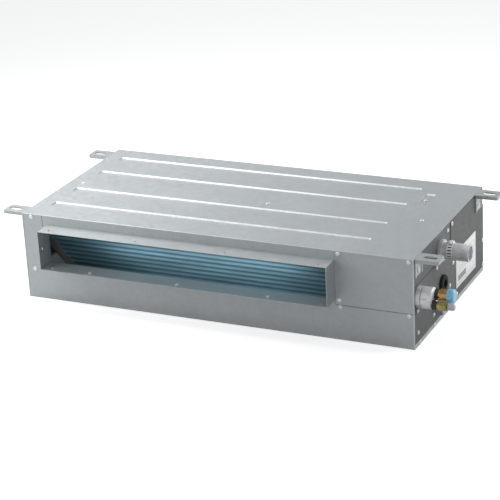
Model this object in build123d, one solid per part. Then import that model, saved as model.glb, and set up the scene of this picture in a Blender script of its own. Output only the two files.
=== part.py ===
from build123d import *
import math
import os

os.makedirs("parts", exist_ok=True)

# Slim ducted air conditioner that hangs above a ceiling, in millimetres.
# The outlet faces -Y, X runs to the right seen from the outlet, and +Z is up.
# The origin is the middle of the underside.

# Casing
body_length = 850.0
body_depth = 420.0
body_height = 185.0
sheet = 1.0
service_width = 160.0
lower_front_height = 73.0
rear_flange_height = 12.0
side_flange_height = 9.0
seam_flange = 10.0
running_gap = 0.3

# Outlet collar
collar_depth = 42.5
collar_left_inset = 58.0
collar_base_z = 83.0
collar_top_drop = 19.0
collar_strip_overlap = 12.0
strip_drop = 6.0
duct_hole_radius = 2.2
duct_hole_pitch = 197.0
duct_holes = 4
duct_hole_setback = 13.0

# Pressed grooves in the top sheet
groove_depth = 2.5
groove_width = 22.0
groove_corner = 3.0
groove_rear_places = (82.0, 172.0, 282.5, 375.0)
groove_left_inset = 33.0
groove_right_inset = 114.0
short_recess_inset = 97.0
short_recess_width = 21.0
short_recess_length = 66.0
short_recess_rear_inset = 72.0

# Hanging brackets
hanger_plate = 2.0
hanger_reach = 49.0
hanger_width = 36.0
hanger_leg = 38.0
hanger_lip = 5.0
hanger_corner = 5.0
hanger_slot_length = 28.0
hanger_slot_width = 12.0
hanger_slot_start = 13.0
front_hanger_inset = 22.0
rear_hanger_inset = 34.0

# Slanted coil
tube_radius = 3.5
tube_pitch = 21.0
row_pitch = 13.3
coil_thickness = 27.0
fin_wave = 1.5
coil_head_inset = 10.0
coil_head_drop = 24.0
coil_foot_z = 15.0
coil_foot_gap = 60.0
coil_left_inset = 40.0
tube_stub = 6.0
tubes_per_circuit = 3
bend_mitres = 4
end_flange_width = 24.0
window_margin = 3.0
window_lip = 2.0
end_plate_lip = 2.0
end_flange_margin = 4.0
header_radius = 8.0
header_reach = 37.0
gas_pipe_lead = 28.0
gas_pipe_turn = 62.0
capillary_radius = 1.5
capillary_spread = 5.0
capillary_lead = 9.0
distributor_setback = 56.0
distributor_length = 26.0
distributor_collar = 10.0
distributor_radius = 9.0
distributor_neck = 6.0

# Drain pan
pan_wall = 8.0
pan_floor_z = 12.0
pan_lip_z = 66.0
pan_ramp_run = 88.0
pan_rear_wall_z = 40.0
pan_deck_gap = 4.0
pan_end_inset = 11.0
pan_end_height = 48.0
pan_ribs = 3
pan_rib_width = 8.0
pan_rib_front = 12.0
pan_rib_rear = 16.0
pan_coil_gap = 6.0
pan_foot_drop = 3.0
channel_top = 24.0
stub_radius = 11.0
stub_bore = 8.0
stub_root_radius = 10.5
stub_step = 1.5
stub_reach = 12.0
plug_length = 8.0
plug_head = 3.0

# Fans
shaft_radius = 4.0
blade_count = 28
blade_depth = 11.0
blade_thickness = 1.2
blade_lean = 3.5
hub_radius = 11.0
hub_length = 18.0
disc_thickness = 2.0
ring_thickness = 2.5
fan_wall = 1.2
wheel_end_gap = 7.0
scroll_gap = 6.0
scroll_growth = 26.0
scroll_steps = 12
tongue_angle = 17.0
throat_reach = 113.0
fan_floor_gap = 5.0
fan_roof_gap = 1.0
fan_rear_gap = 10.0
inlet_share = 0.8
inlet_ring_length = 5.0
inlet_ring_wall = 2.0
motor_radius = 42.0
motor_length = 84.0
motor_boss_radius = 14.0
motor_boss_length = 8.0
motor_band = 2.0
motor_edge = 5.0
motor_bay = 150.0
fan_end_gap = 62.0
bearing_radius = 13.0
bearing_length = 8.0
bearing_gap = 10.0
bearing_arm_height = 20.0
bearing_foot = 14.0
bracket_web = 2.0
motor_bracket_width = 28.0
motor_web_height = 48.0
shaft_left_reach = 22.0
shaft_right_setback = 40.0
fit_gap = 0.05

# Return air filter
filter_thickness = 8.0
filter_border = 10.0
filter_mesh = 1.0
filter_wall_gap = 0.6
filter_top_drop = 5.0
filter_left_gap = 4.0
filter_right_gap = 6.0
filter_bars = 4
filter_tab = 14.0
rail_wall = 1.2
rail_height = 9.0
inlet_border = 22.0
inlet_rim = 8.0
inlet_hole_inset = 20.0

# Pipe connections on the right side
gas_tube_radius = 4.76
gas_flare_radius = 6.6
gas_nut_flats = 22.0
gas_nut_length = 13.0
gas_nut_reach = 43.0
gas_cap_radius = 13.5
liquid_tube_radius = 3.18
liquid_flare_radius = 4.6
liquid_nut_flats = 17.0
liquid_nut_length = 16.0
liquid_nut_reach = 46.0
liquid_cap_radius = 6.5
nut_floor = 5.0
nut_wall = 2.4
nut_shoulder = 4.0
flare_length = 3.0
flare_setback = 5.0
cap_length = 15.0
cap_plug = 3.0
cap_edge = 2.0
sleeve_radius = 21.5
sleeve_reach = 33.0
sleeve_setback = 24.5
sleeve_drop = 25.0
sleeve_seam = 10.0
sleeve_window_gap = 1.0
sleeve_edge = 3.0
sleeve_root = 30.0
gas_offset_y = 8.0
gas_offset_z = 6.0
liquid_offset_y = 11.2
liquid_offset_z = 8.2
pipe_bend_radius = 14.0

# Drain pump and its outlet hose
hose_radius = 17.0
hose_bore = 14.0
spigot_radius = 15.5
hose_reach = 60.0
hose_drop = 40.0
pump_side_gap = 3.95
hose_flange_radius = 22.0
hose_flange_length = 6.0
clamp_width = 12.0
clamp_wall = 1.0
clamp_reach = 16.0
riser_radius = 9.0
riser_bore = 7.0
riser_setback = 37.0
riser_bend_radius = 13.0
spigot_length = 6.0
pump_outlet = 4.0
pump_radius = 25.0
pump_setback = 80.0
pump_wall = 2.5
pump_base_z = 14.0
pump_height = 36.0
pump_motor_radius = 24.0
pump_motor_height = 44.0
impeller_radius = 17.0
impeller_vanes = 6
impeller_gap = 3.0
impeller_plate = 2.0
impeller_hub_radius = 5.0
impeller_hub_length = 18.0
vane_root = 3.0
vane_thickness = 1.6
vane_height = 16.0
pump_inlet_radius = 9.0
pump_neck_radius = 12.0
spindle_radius = 2.0
spindle_cover = 6.0
spindle_end_gap = 2.0
bracket_left_reach = 30.0
bracket_front_reach = 22.0
bracket_rear_reach = 4.0
bracket_notch = 8.0
bracket_side_gap = 4.0
bracket_tab_rise = 14.0
bracket_tab_gap = 2.0
bracket_z = 66.0
bracket_plate = 2.0

# Float switch
float_radius = 10.0
float_height = 12.0
float_stem_radius = 3.0
float_setback = 35.0
float_pump_gap = 32.0
float_foot_gap = 3.0
float_stop = 2.0
float_stop_lip = 3.0
float_head_radius = 5.0
float_head_rise = 8.0
float_head_drop = 4.0
float_collar_radius = 9.0
float_slide_gap = 0.1

# Plate, grommet and plugs on the right side
plate_front_gap = 0.5
plate_overlap = 10.0
plate_rear_inset = 180.0
plate_gap = 2.0
stub_plate_inset = 110.0
stub_z = 31.0
grommet_plate_inset = 80.0
grommet_z = 74.0
grommet_radius = 18.0
grommet_bore = 9.0
grommet_lip = 7.0
grommet_wall = 4.0

# Electrical box
box_depth = 60.0
box_front_gap = 4.0
box_rear_gap = 6.0
box_base = 8.0
box_top_drop = 9.0
cover_overlap = 5.0
cover_front_inset = 205.0
cover_top_drop = 2.0
board_gap = 12.0
board_thickness = 1.6
board_front_inset = 24.0
board_rear_inset = 20.0
board_base = 46.0
board_top_drop = 14.0
board_post_inset = 6.0
board_post_radius = 3.0
relay_height = 16.0
relay_size = 20.0
relay_inset = 14.0
relay_pitch = 34.0
relay_rise = 8.0
relays = 3
socket_length = 46.0
socket_width = 10.0
socket_rise = 8.0
capacitor_radius = 9.0
capacitor_length = 24.0
capacitor_inset = 22.0
capacitor_rise = 20.0
terminal_rise = 14.0
terminal_depth = 18.0
terminal_length = 84.0
terminal_height = 22.0
terminal_ways = 6
terminal_pitch = 14.0
terminal_slot = 9.0
terminal_floor = 8.0
transformer_inset = 118.0
transformer_rise = 8.0
transformer_depth = 30.0
transformer_width = 34.0
transformer_height = 28.0
winding_step = 4.0
winding_drop = 6.0
foam_thickness = 8.0

# Screws
screw_head_radius = 4.5
screw_head_height = 2.2
screw_inset = 5.5
top_screw_offset = 120.0
column_screw_inset = 21.0
flange_screw_inset = 19.0
flange_screw_drop = 8.5
cover_screw_inset = 8.0
cover_screw_rise = 11.0
cover_low_inset = 10.0
cover_low_drop = 4.0
cover_edge_inset = 9.0
plate_screw_inset = 17.5
plate_screw_z = 29.0
plate_screw_drop = 52.0
hose_screw_inset = 128.5
hose_screw_drop = 7.0
stub_screw_inset = 108.5
stub_screw_z = 28.0
grommet_screw_inset = 35.0
grommet_screw_z = 51.0
edge_screw_inset = 14.0
edge_screw_drop = 34.0
box_screw_inset = 6.0
box_screw_drop = 8.0
box_screw_z = 69.5
box_front_screw_inset = 8.0
side_flange_screws = (26.0, 111.5)
panel_screw_inset = 17.0
panel_screw_drop = 14.0
hanger_screw_share = 0.75
collar_screw_offset = 10.0
rear_screw_inset = 12.0
rear_screw_drop = 8.0

# Casing places
right = body_length / 2
left = -right
front = -body_depth / 2
rear = body_depth / 2
under_top = body_height - sheet
service_x = right - service_width
partition_x = service_x - 2 * sheet
collar_left = left + collar_left_inset
collar_top = body_height - collar_top_drop
collar_front = front - collar_depth
groove_rear_edges = [front + place for place in groove_rear_places]
groove_floor = body_height - groove_depth - sheet
tip_x = right + hanger_reach
hanger_middles = (front + front_hanger_inset, rear - rear_hanger_inset)

# Service side places
plate_rear = rear - plate_rear_inset
plate_front = front + plate_front_gap
hose_z = body_height - hose_drop
plate_top = hose_z - hose_radius - plate_gap
plate_base = side_flange_height + running_gap
sleeve_y = front + sleeve_setback
sleeve_z = plate_top - sleeve_drop
gas_y = sleeve_y + gas_offset_y
gas_z = sleeve_z + gas_offset_z
liquid_y = sleeve_y - liquid_offset_y
liquid_z = sleeve_z - liquid_offset_z
stub_y = plate_rear - stub_plate_inset
grommet_y = plate_rear - grommet_plate_inset
plate_outer = right + sheet
box_y0 = plate_rear + box_front_gap
box_y1 = rear - box_rear_gap
box_z0 = box_base
box_z1 = body_height - box_top_drop
box_x = right - sheet - box_depth
pump_x = right - pump_setback
riser_x = right - riser_setback
float_x = right - float_setback

# Filter, fan and shaft places
filter_rear = rear - sheet - rail_wall - filter_wall_gap
filter_front = filter_rear - filter_thickness
filter_base = rear_flange_height / 2 + rail_wall + running_gap
filter_top = under_top - filter_top_drop - rail_wall - running_gap
filter_left = left + sheet + filter_left_gap
filter_right = partition_x - filter_right_gap
scroll_sweep = 270.0 + tongue_angle
bottom_growth = scroll_gap + scroll_growth * (90.0 + tongue_angle) / scroll_sweep
rear_growth = scroll_gap + scroll_growth * (180.0 + tongue_angle) / scroll_sweep
top_growth = scroll_gap + scroll_growth
fan_height = groove_floor - sheet - fan_floor_gap - fan_roof_gap - 2 * fan_wall
wheel_radius = (fan_height - bottom_growth - top_growth) / 2
shaft_z = sheet + fan_floor_gap + fan_wall + wheel_radius + bottom_growth
shaft_y = filter_front - fan_rear_gap - fan_wall - wheel_radius - rear_growth
deck_y = shaft_y - throat_reach
tongue_radius = wheel_radius + scroll_gap
throat_lip_z = shaft_z + tongue_radius * math.sin(math.radians(tongue_angle))
throat_roof_z = shaft_z + wheel_radius + top_growth
chamber_middle = (left + sheet + partition_x) / 2
fan_inner = motor_bay / 2
fan_outer = (partition_x - left - sheet) / 2 - fan_end_gap
fan_spans = (
    (chamber_middle - fan_outer, chamber_middle - fan_inner),
    (chamber_middle + fan_inner, chamber_middle + fan_outer),
)

# Pump places: the pump stands clear of the drain pan's rear wall
pan_rear_inner = deck_y - pan_deck_gap - pan_wall
hose_y = pan_rear_inner - pump_side_gap - pump_radius
bracket_y0 = hose_y - pump_radius - bracket_front_reach
bracket_y1 = hose_y + pump_radius + bracket_rear_reach
float_y = hose_y - float_pump_gap

# Coil frame: s runs up the coil face and n runs back through its thickness
coil_left = left + coil_left_inset
coil_right = partition_x - sheet
coil_foot_y = deck_y - coil_foot_gap
coil_rise = body_height - coil_head_drop - coil_foot_z
coil_run = coil_foot_y - front - coil_head_inset
coil_length = math.hypot(coil_rise, coil_run)
tubes_per_row = int(coil_length / tube_pitch)
circuit_starts = range(0, tubes_per_row - tubes_per_circuit + 1, tubes_per_circuit)
coil_margin = (coil_length - tubes_per_row * tube_pitch) / 2
row_offsets = ((coil_thickness - row_pitch) / 2, (coil_thickness + row_pitch) / 2)
pan_front = front + sheet + running_gap
pan_rear = deck_y - pan_deck_gap
pan_left = left + pan_end_inset
pan_right = right - pan_end_inset - 2 * sheet
header_x = partition_x + header_reach


def block(x0, x1, y0, y1, z0, z1):
    """Rectangular solid between two opposite corners."""
    middle = Pos((x0 + x1) / 2, (y0 + y1) / 2, (z0 + z1) / 2)
    return middle * Box(abs(x1 - x0), abs(y1 - y0), abs(z1 - z0))


def rod_x(x0, x1, y, z, radius):
    """Round bar along X."""
    return Pos((x0 + x1) / 2, y, z) * Rot(0, 90, 0) * Cylinder(radius, abs(x1 - x0))


def rod_y(y0, y1, x, z, radius):
    """Round bar along Y."""
    return Pos(x, (y0 + y1) / 2, z) * Rot(90, 0, 0) * Cylinder(radius, abs(y1 - y0))


def rod_z(z0, z1, x, y, radius):
    """Round bar along Z."""
    return Pos(x, y, (z0 + z1) / 2) * Cylinder(radius, abs(z1 - z0))


def pipe_x(x0, x1, y, z, radius, bore):
    """Hollow round bar along X."""
    return rod_x(x0, x1, y, z, radius) - rod_x(x0 - 1, x1 + 1, y, z, bore)


def section_x(x0, x1, points):
    """Extrude a closed outline of (y, z) points from x0 to x1."""
    outline = make_face(Polyline(*points, close=True))
    return extrude(Plane.YZ.offset(x0) * outline, amount=x1 - x0, dir=(1, 0, 0))


def tube_along(path, radius):
    """Sweep a round section along a path of runs and arcs."""
    start = Plane(origin=path @ 0, z_dir=path % 0)
    return sweep(start * Circle(radius), path=path)


def hex_bar(x0, x1, y, z, flats):
    """Hexagonal bar along X."""
    outline = RegularPolygon(flats / 2, 6, major_radius=False)
    return extrude(Plane(origin=(x0, y, z), z_dir=(1, 0, 0)) * outline, amount=x1 - x0)


def save(name, *solids):
    """Write one named piece, or a group of separate solids, to its STEP file."""
    shape = solids[0] if len(solids) == 1 else Compound(children=list(solids))
    export_step(shape, f"parts/{name}.step")


def coil_point(s, n):
    """Turn a place in the coil frame into (y, z)."""
    along_y = -coil_run / coil_length
    along_z = coil_rise / coil_length
    y = coil_foot_y + s * along_y + n * along_z
    z = coil_foot_z + s * along_z - n * along_y
    return (y, z)


def tube_place(row, index):
    """Centre of one coil tube as (y, z)."""
    return coil_point(coil_margin + (index + 0.5) * tube_pitch, row_offsets[row])


def coil_slab(x0, x1, margin, n0, n1):
    """Slab on the coil's slant between two depths, shortened by a margin at both ends."""
    corners = (
        coil_point(margin, n0),
        coil_point(coil_length - margin, n0),
        coil_point(coil_length - margin, n1),
        coil_point(margin, n1),
    )
    return section_x(x0, x1, corners)


# Casing panels
def pressed_recess(x0, x1, y0, y1, extra):
    """Tapered pocket pressed down from the top face, grown by extra on every side."""
    width = x1 - x0 + 2 * extra
    depth = y1 - y0 + 2 * extra
    drop = groove_depth + extra
    mouth_place = Pos((x0 + x1) / 2, (y0 + y1) / 2, body_height)
    mouth = mouth_place * RectangleRounded(width, depth, groove_corner + extra)
    floor_size = (width - 2 * groove_depth, depth - 2 * groove_depth)
    floor = mouth_place * Pos(0, 0, -drop) * RectangleRounded(*floor_size, groove_corner)
    return loft([floor, mouth])


def top_panel():
    """Top sheet with four long pressed grooves and one short recess."""
    recesses = [
        (left + groove_left_inset, right - groove_right_inset, edge - groove_width, edge)
        for edge in groove_rear_edges
    ]
    short_x = right - short_recess_inset
    short_y = rear - short_recess_rear_inset
    recesses.append((short_x, short_x + short_recess_width, short_y - short_recess_length, short_y))
    panel = block(left, right, front, rear, under_top, body_height)
    for recess in recesses:
        panel += pressed_recess(*recess, sheet)
    for recess in recesses:
        panel -= pressed_recess(*recess, 0)
    return panel


def bottom_panel():
    """Bottom sheet with a tall front flange, a low rear flange and side flanges outside."""
    panel = block(left, right, front, rear, 0, sheet)
    panel += block(right, right + sheet, front, rear, 0, side_flange_height)
    filter_side = filter_front - filter_wall_gap - rail_wall
    panel += block(left - sheet, left, front, filter_side, 0, side_flange_height)
    panel += block(left, right, front, front + sheet, 0, lower_front_height)
    panel += block(left, right, rear - sheet, rear, 0, rear_flange_height)
    return panel


def side_sheet(side):
    """Upright side sheet with turned-in top and bottom flanges."""
    outer = side * right
    inner = outer - side * sheet
    lap = inner - side * seam_flange
    y0 = front + sheet
    y1 = rear - sheet
    panel = block(outer, inner, y0, y1, sheet, under_top)
    panel += block(inner, lap, y0, y1, under_top - sheet, under_top)
    panel += block(inner, lap, y0, y1, sheet, 2 * sheet)
    return panel


def left_side_panel():
    """Left side with the front column beside the collar and a slot for the filter."""
    panel = side_sheet(-1)
    strip_z = collar_top - strip_drop
    strip_x = collar_left - collar_strip_overlap
    panel += block(left, collar_left, front, front + sheet, lower_front_height, strip_z)
    panel += block(left, strip_x, front, front + sheet, strip_z, under_top)
    slot_y = (filter_front - filter_wall_gap, filter_rear + filter_wall_gap)
    slot_z = (filter_base - filter_wall_gap, filter_top + filter_wall_gap)
    return panel - block(left - sheet, left + 2 * sheet, *slot_y, *slot_z)


def right_side_panel():
    """Right side with windows behind the pipe plate and behind the electrical cover."""
    panel = side_sheet(1)
    x0 = right - 2 * sheet
    x1 = right + sheet
    window_base = plate_base + plate_overlap
    panel -= block(x0, x1, front, plate_rear - plate_overlap, window_base, plate_top - plate_overlap)
    sleeve_rear = sleeve_y + sleeve_radius + sleeve_window_gap
    window_top = sleeve_z + sleeve_radius + sleeve_window_gap
    panel -= block(x0, x1, front, sleeve_rear, window_base, window_top)
    box_y = (box_y0 + cover_overlap, box_y1 - cover_overlap)
    panel -= block(x0, x1, *box_y, box_z0 + cover_overlap, box_z1 - cover_overlap)
    return panel - rod_x(x0, x1, hose_y, hose_z, spigot_radius + fit_gap)


def front_right_panel():
    """Flat cover in front of the service compartment."""
    return block(service_x, right, front, front + sheet, lower_front_height, under_top)


def rear_right_panel():
    """Flat cover behind the service compartment."""
    x0 = partition_x + sheet
    return block(x0, right, rear - sheet, rear, rear_flange_height, under_top)


def duct_hole_places():
    """X places of the screw holes along the collar's long walls."""
    middle = (collar_left + service_x) / 2
    first = middle - duct_hole_pitch * (duct_holes - 1) / 2
    return [first + duct_hole_pitch * i for i in range(duct_holes)]


def outlet_collar():
    """Rectangular duct spigot with its mounting strips and screw holes."""
    collar = block(collar_left, service_x, collar_front, front + sheet, collar_base_z, collar_top)
    inner_x = (collar_left + sheet, service_x - sheet)
    inner_z = (collar_base_z + sheet, collar_top - sheet)
    collar -= block(*inner_x, collar_front - sheet, front + 2 * sheet, *inner_z)
    strip_x = collar_left - collar_strip_overlap
    strip_z = collar_top - strip_drop
    strip_y = (front, front + sheet)
    collar += block(strip_x, service_x, *strip_y, collar_top, under_top)
    collar += block(strip_x, collar_left, *strip_y, strip_z, collar_top)
    collar += block(collar_left, service_x, *strip_y, lower_front_height, collar_base_z)
    hole_y = collar_front + duct_hole_setback
    for x in duct_hole_places():
        collar -= rod_z(collar_base_z - sheet, collar_top + sheet, x, hole_y, duct_hole_radius)
    side_hole_z = (collar_base_z + collar_top) / 2
    collar -= rod_x(collar_left - sheet, service_x + sheet, hole_y, side_hole_z, duct_hole_radius)
    return collar


def hanger(side, middle):
    """Hanging bracket: a lipped tab with a closed slot, and a leg down the side sheet."""
    top = body_height - running_gap
    y0 = middle - hanger_width / 2
    y1 = middle + hanger_width / 2
    under_tab = top - hanger_plate
    tab = block(right, tip_x, y0, y1, under_tab - hanger_lip, top)
    corners = [edge for edge in tab.edges().filter_by(Axis.Z) if edge.center().X > right + 1]
    tab = fillet(corners, hanger_corner)
    lip_y = (y0 + hanger_plate, y1 - hanger_plate)
    tab -= block(right - 1, tip_x - hanger_plate, *lip_y, under_tab - hanger_lip - 1, under_tab)
    leg = block(right, right + hanger_plate, y0, y1, top - hanger_leg, top)
    slot_x = right + hanger_slot_start + hanger_slot_length / 2
    slot = Pos(slot_x, middle, under_tab - 1) * SlotOverall(hanger_slot_length, hanger_slot_width)
    bracket = tab + leg - extrude(slot, amount=hanger_plate + 2)
    if side < 0:
        bracket = mirror(bracket, about=Plane.YZ)
    return bracket


def partition():
    """Wall between the air chamber and the service compartment."""
    x0 = partition_x - sheet
    x1 = partition_x + 2 * sheet
    wall = block(partition_x, partition_x + sheet, front + sheet, rear - sheet, sheet, under_top)
    wall -= coil_slab(x0, x1, window_margin, window_lip, coil_thickness - window_lip)
    wall -= section_x(x0, x1, pan_outline(running_gap))
    channel = (pan_front + pan_wall + pan_ramp_run, pan_rear - pan_wall)
    wall -= block(x0, x1, *channel, pan_floor_z, channel_top)
    wall -= block(x0, x1, filter_front - filter_wall_gap, rear - sheet, 0, rear_flange_height)
    if right - groove_right_inset > partition_x:
        for edge in groove_rear_edges:
            y0 = edge - groove_width - sheet - running_gap
            y1 = edge + sheet + running_gap
            wall -= block(x0, x1, y0, y1, groove_floor - running_gap, body_height)
    return wall


def fan_deck():
    """Upright plate that carries the fans and passes their air to the coil."""
    x0 = left + sheet
    y0 = deck_y - sheet
    y1 = deck_y + 2 * sheet
    lap_x = x0 + seam_flange + running_gap
    deck = block(x0, partition_x, deck_y, deck_y + sheet, sheet, under_top)
    deck -= block(x0 - sheet, lap_x, y0, y1, 0, 2 * sheet)
    deck -= block(x0 - sheet, lap_x, y0, y1, under_top - sheet, body_height)
    for edge in groove_rear_edges:
        if y0 < edge + sheet and y1 > edge - groove_width - sheet:
            deck -= block(x0 - sheet, right, y0, y1, groove_floor - running_gap, body_height)
    for span in fan_spans:
        mouth_x = (span[0] + fan_wall, span[1] - fan_wall)
        deck -= block(*mouth_x, y0, y1, throat_lip_z, throat_roof_z)
    return deck


def inlet_frame():
    """Rear frame around the return air opening."""
    x0 = left + sheet
    x1 = partition_x + sheet
    frame = block(x0, x1, rear - sheet, rear, rear_flange_height, under_top)
    window_x = (x0 + inlet_border, x1 - inlet_border)
    window_z = (rear_flange_height + inlet_rim, under_top - inlet_rim)
    frame -= block(*window_x, rear - 2 * sheet, rear + sheet, *window_z)
    for x in (window_x[0] - inlet_border / 2, window_x[1] + inlet_border / 2):
        for z in (window_z[0] + inlet_hole_inset, window_z[1] - inlet_hole_inset):
            frame -= rod_y(rear - 2 * sheet, rear + sheet, x, z, duct_hole_radius)
    return frame


# Return air filter
def filter_rail(at_top):
    """Channel that the filter slides in, along the inlet frame's lower or upper edge."""
    x0 = left + sheet
    x1 = partition_x
    y0 = filter_front - filter_wall_gap - rail_wall
    y1 = rear - sheet
    slot_y = (filter_front - filter_wall_gap, filter_rear + filter_wall_gap)
    if at_top:
        base = filter_top + running_gap
        rail = block(x0, x1, y0, y1, base - rail_height, base + rail_wall)
        return rail - block(x0 - 1, x1 + 1, *slot_y, base - rail_height - 1, base)
    base = filter_base - running_gap
    rail = block(x0, x1, y0, y1, base - rail_wall, base + rail_height)
    return rail - block(x0 - 1, x1 + 1, *slot_y, base, base + rail_height + 1)


def air_filter():
    """Filter frame with cross bars, thin mesh and a finger tab at its pulled end."""
    outer_y = (filter_front, filter_rear)
    middle_y = (filter_front + filter_rear) / 2
    frame = block(filter_left, filter_right, *outer_y, filter_base, filter_top)
    inner_x = (filter_left + filter_border, filter_right - filter_border)
    inner_z = (filter_base + filter_border, filter_top - filter_border)
    frame -= block(*inner_x, filter_front - 1, filter_rear + 1, *inner_z)
    mesh_y = (middle_y - filter_mesh / 2, middle_y + filter_mesh / 2)
    frame += block(*inner_x, *mesh_y, *inner_z)
    bar_pitch = (inner_x[1] - inner_x[0]) / (filter_bars + 1)
    for i in range(filter_bars):
        x = inner_x[0] + (i + 1) * bar_pitch
        frame += block(x - 2, x + 2, filter_front + 1, filter_rear - 1, *inner_z)
    middle_z = (inner_z[0] + inner_z[1]) / 2
    frame += block(*inner_x, filter_front + 1, filter_rear - 1, middle_z - 2, middle_z + 2)
    tab_x = filter_left + filter_border
    frame += block(tab_x, tab_x + filter_tab, *mesh_y, middle_z - filter_tab, middle_z + filter_tab)
    return frame


# Coil
def fin_pack():
    """Corrugated stack of fins with a clear hole round every tube."""
    points = [coil_point(0, 0), coil_point(coil_margin, 0)]
    for i in range(tubes_per_row):
        s = coil_margin + i * tube_pitch
        points.append(coil_point(s + tube_pitch / 2, -fin_wave))
        points.append(coil_point(s + tube_pitch, 0))
    points.append(coil_point(coil_length, 0))
    points.append(coil_point(coil_length, coil_thickness))
    points.append(coil_point(0, coil_thickness))
    fins = section_x(coil_left, coil_right, points)
    for row in range(2):
        for i in range(tubes_per_row):
            fins -= rod_x(coil_left - 1, coil_right + 1, *tube_place(row, i), tube_radius + fit_gap)
    return fins


def return_bend(start, end, x, side):
    """Half-round bend between two tube ends, made of short mitred runs."""
    middle = ((start[0] + end[0]) / 2, (start[1] + end[1]) / 2)
    reach = math.dist(start, end) / 2
    far = 1 / math.cos(math.pi / 2 / bend_mitres)
    points = [(x, *start)]
    for i in range(bend_mitres):
        turn = math.pi * (i + 0.5) / bend_mitres
        along = far * math.cos(turn)
        y = middle[0] + along * (start[0] - middle[0])
        z = middle[1] + along * (start[1] - middle[1])
        points.append((x + side * reach * far * math.sin(turn), y, z))
    points.append((x, *end))
    section = Plane(origin=points[0], z_dir=(side, 0, 0)) * Circle(tube_radius)
    return sweep(section, path=Polyline(*points), transition=Transition.RIGHT)


def coil_tubes():
    """Serpentine tubes in circuits of three tubes per row, with their return bends."""
    x0 = coil_left - sheet - tube_stub
    x1 = partition_x + sheet + tube_stub
    circuits = []
    for first in circuit_starts:
        f = [tube_place(0, first + i) for i in range(tubes_per_circuit)]
        r = [tube_place(1, first + i) for i in range(tubes_per_circuit)]
        circuit = rod_x(x0, x1, *f[0], tube_radius)
        for place in (f[1], f[2], r[0], r[1], r[2]):
            circuit += rod_x(x0, x1, *place, tube_radius)
        for start, end in ((f[0], f[1]), (f[2], r[2]), (r[1], r[0])):
            circuit += return_bend(start, end, x0, -1)
        for start, end in ((f[1], f[2]), (r[2], r[1])):
            circuit += return_bend(start, end, x1, 1)
        circuits.append(circuit)
    return circuits


def coil_end_plate(at_left):
    """Sheet plate at one end of the fins; the left one has a flange along its front edge."""
    x0 = coil_left - sheet if at_left else coil_right
    plate = coil_slab(x0, x0 + sheet, 0, -end_plate_lip, coil_thickness + end_plate_lip)
    if at_left:
        flange_x = x0 - end_flange_width
        plate += coil_slab(flange_x, x0, end_flange_margin, -end_plate_lip, sheet - end_plate_lip)
    for row in range(2):
        for i in range(tubes_per_row):
            plate -= rod_x(x0 - 1, x0 + 2 * sheet, *tube_place(row, i), tube_radius + fit_gap)
    return plate


def gas_header():
    """Vertical collecting pipe that the rear tube row drains into."""
    low = tube_place(1, circuit_starts[0])
    high = tube_place(1, circuit_starts[-1])
    reach = math.dist(low, high)
    step_y = (high[0] - low[0]) / reach
    step_z = (high[1] - low[1]) / reach
    extra = 2 * header_radius
    start = Vector(header_x, low[0] - extra * step_y, low[1] - extra * step_z)
    place = Plane(origin=start, z_dir=(0, step_y, step_z))
    header = extrude(place * Circle(header_radius), amount=reach + 2 * extra)
    stub_x = partition_x + sheet + tube_stub
    for first in circuit_starts:
        header += rod_x(stub_x, header_x, *tube_place(1, first), tube_radius)
    return header


def gas_pipe():
    """Suction pipe from the header, through the side plate, to its flared end."""
    flare_x = right + gas_nut_reach + gas_nut_length - flare_setback
    start = tube_place(1, circuit_starts[-1])
    run_x = header_x + header_radius
    points = (
        (run_x, *start),
        (run_x + gas_pipe_lead, *start),
        (run_x + gas_pipe_turn, gas_y, gas_z),
        (flare_x - flare_length, gas_y, gas_z),
    )
    pipe = tube_along(FilletPolyline(*points, radius=pipe_bend_radius), gas_tube_radius)
    flare = Plane(origin=(flare_x - flare_length, gas_y, gas_z), z_dir=(1, 0, 0))
    mouth = flare.offset(flare_length) * Circle(gas_flare_radius)
    return pipe + loft([flare * Circle(gas_tube_radius), mouth])


def liquid_pipe():
    """Liquid pipe from the distributor to its flared end."""
    flare_x = right + liquid_nut_reach + liquid_nut_length - flare_setback
    flare_root = flare_x - flare_length
    pipe = rod_x(distributor_x(), flare_root, liquid_y, liquid_z, liquid_tube_radius)
    flare = Plane(origin=(flare_root, liquid_y, liquid_z), z_dir=(1, 0, 0))
    mouth = flare.offset(flare_length) * Circle(liquid_flare_radius)
    return pipe + loft([flare * Circle(liquid_tube_radius), mouth])


def distributor_x():
    """X of the end of the distributor where the liquid pipe leaves it."""
    return header_x + distributor_setback


def distributor():
    """Brass cone that splits the liquid between the capillaries."""
    x1 = distributor_x()
    collar_x = x1 - distributor_collar
    wide = Plane(origin=(x1 - distributor_length, liquid_y, liquid_z), z_dir=(1, 0, 0))
    narrow = wide.offset(distributor_length - distributor_collar)
    cone = loft([wide * Circle(distributor_radius), narrow * Circle(distributor_neck)])
    return cone + rod_x(collar_x, x1, liquid_y, liquid_z, distributor_neck)


def capillaries():
    """Thin pipes from the distributor to the first tube of each circuit."""
    x_stub = partition_x + sheet + tube_stub
    x_cone = distributor_x() - distributor_length
    pipes = []
    for turn, first in enumerate(circuit_starts):
        y, z = tube_place(0, first)
        angle = math.radians(90 + 120 * turn)
        spread_y = liquid_y + capillary_spread * math.cos(angle)
        spread_z = liquid_z + capillary_spread * math.sin(angle)
        path = Polyline(
            (x_cone, spread_y, spread_z),
            (x_cone - capillary_lead, spread_y, spread_z),
            (x_stub + capillary_lead, y, z),
            (x_stub, y, z),
        )
        section = Plane(origin=path @ 0, z_dir=path % 0) * Circle(capillary_radius)
        pipes.append(sweep(section, path=path, transition=Transition.RIGHT))
    return pipes


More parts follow.
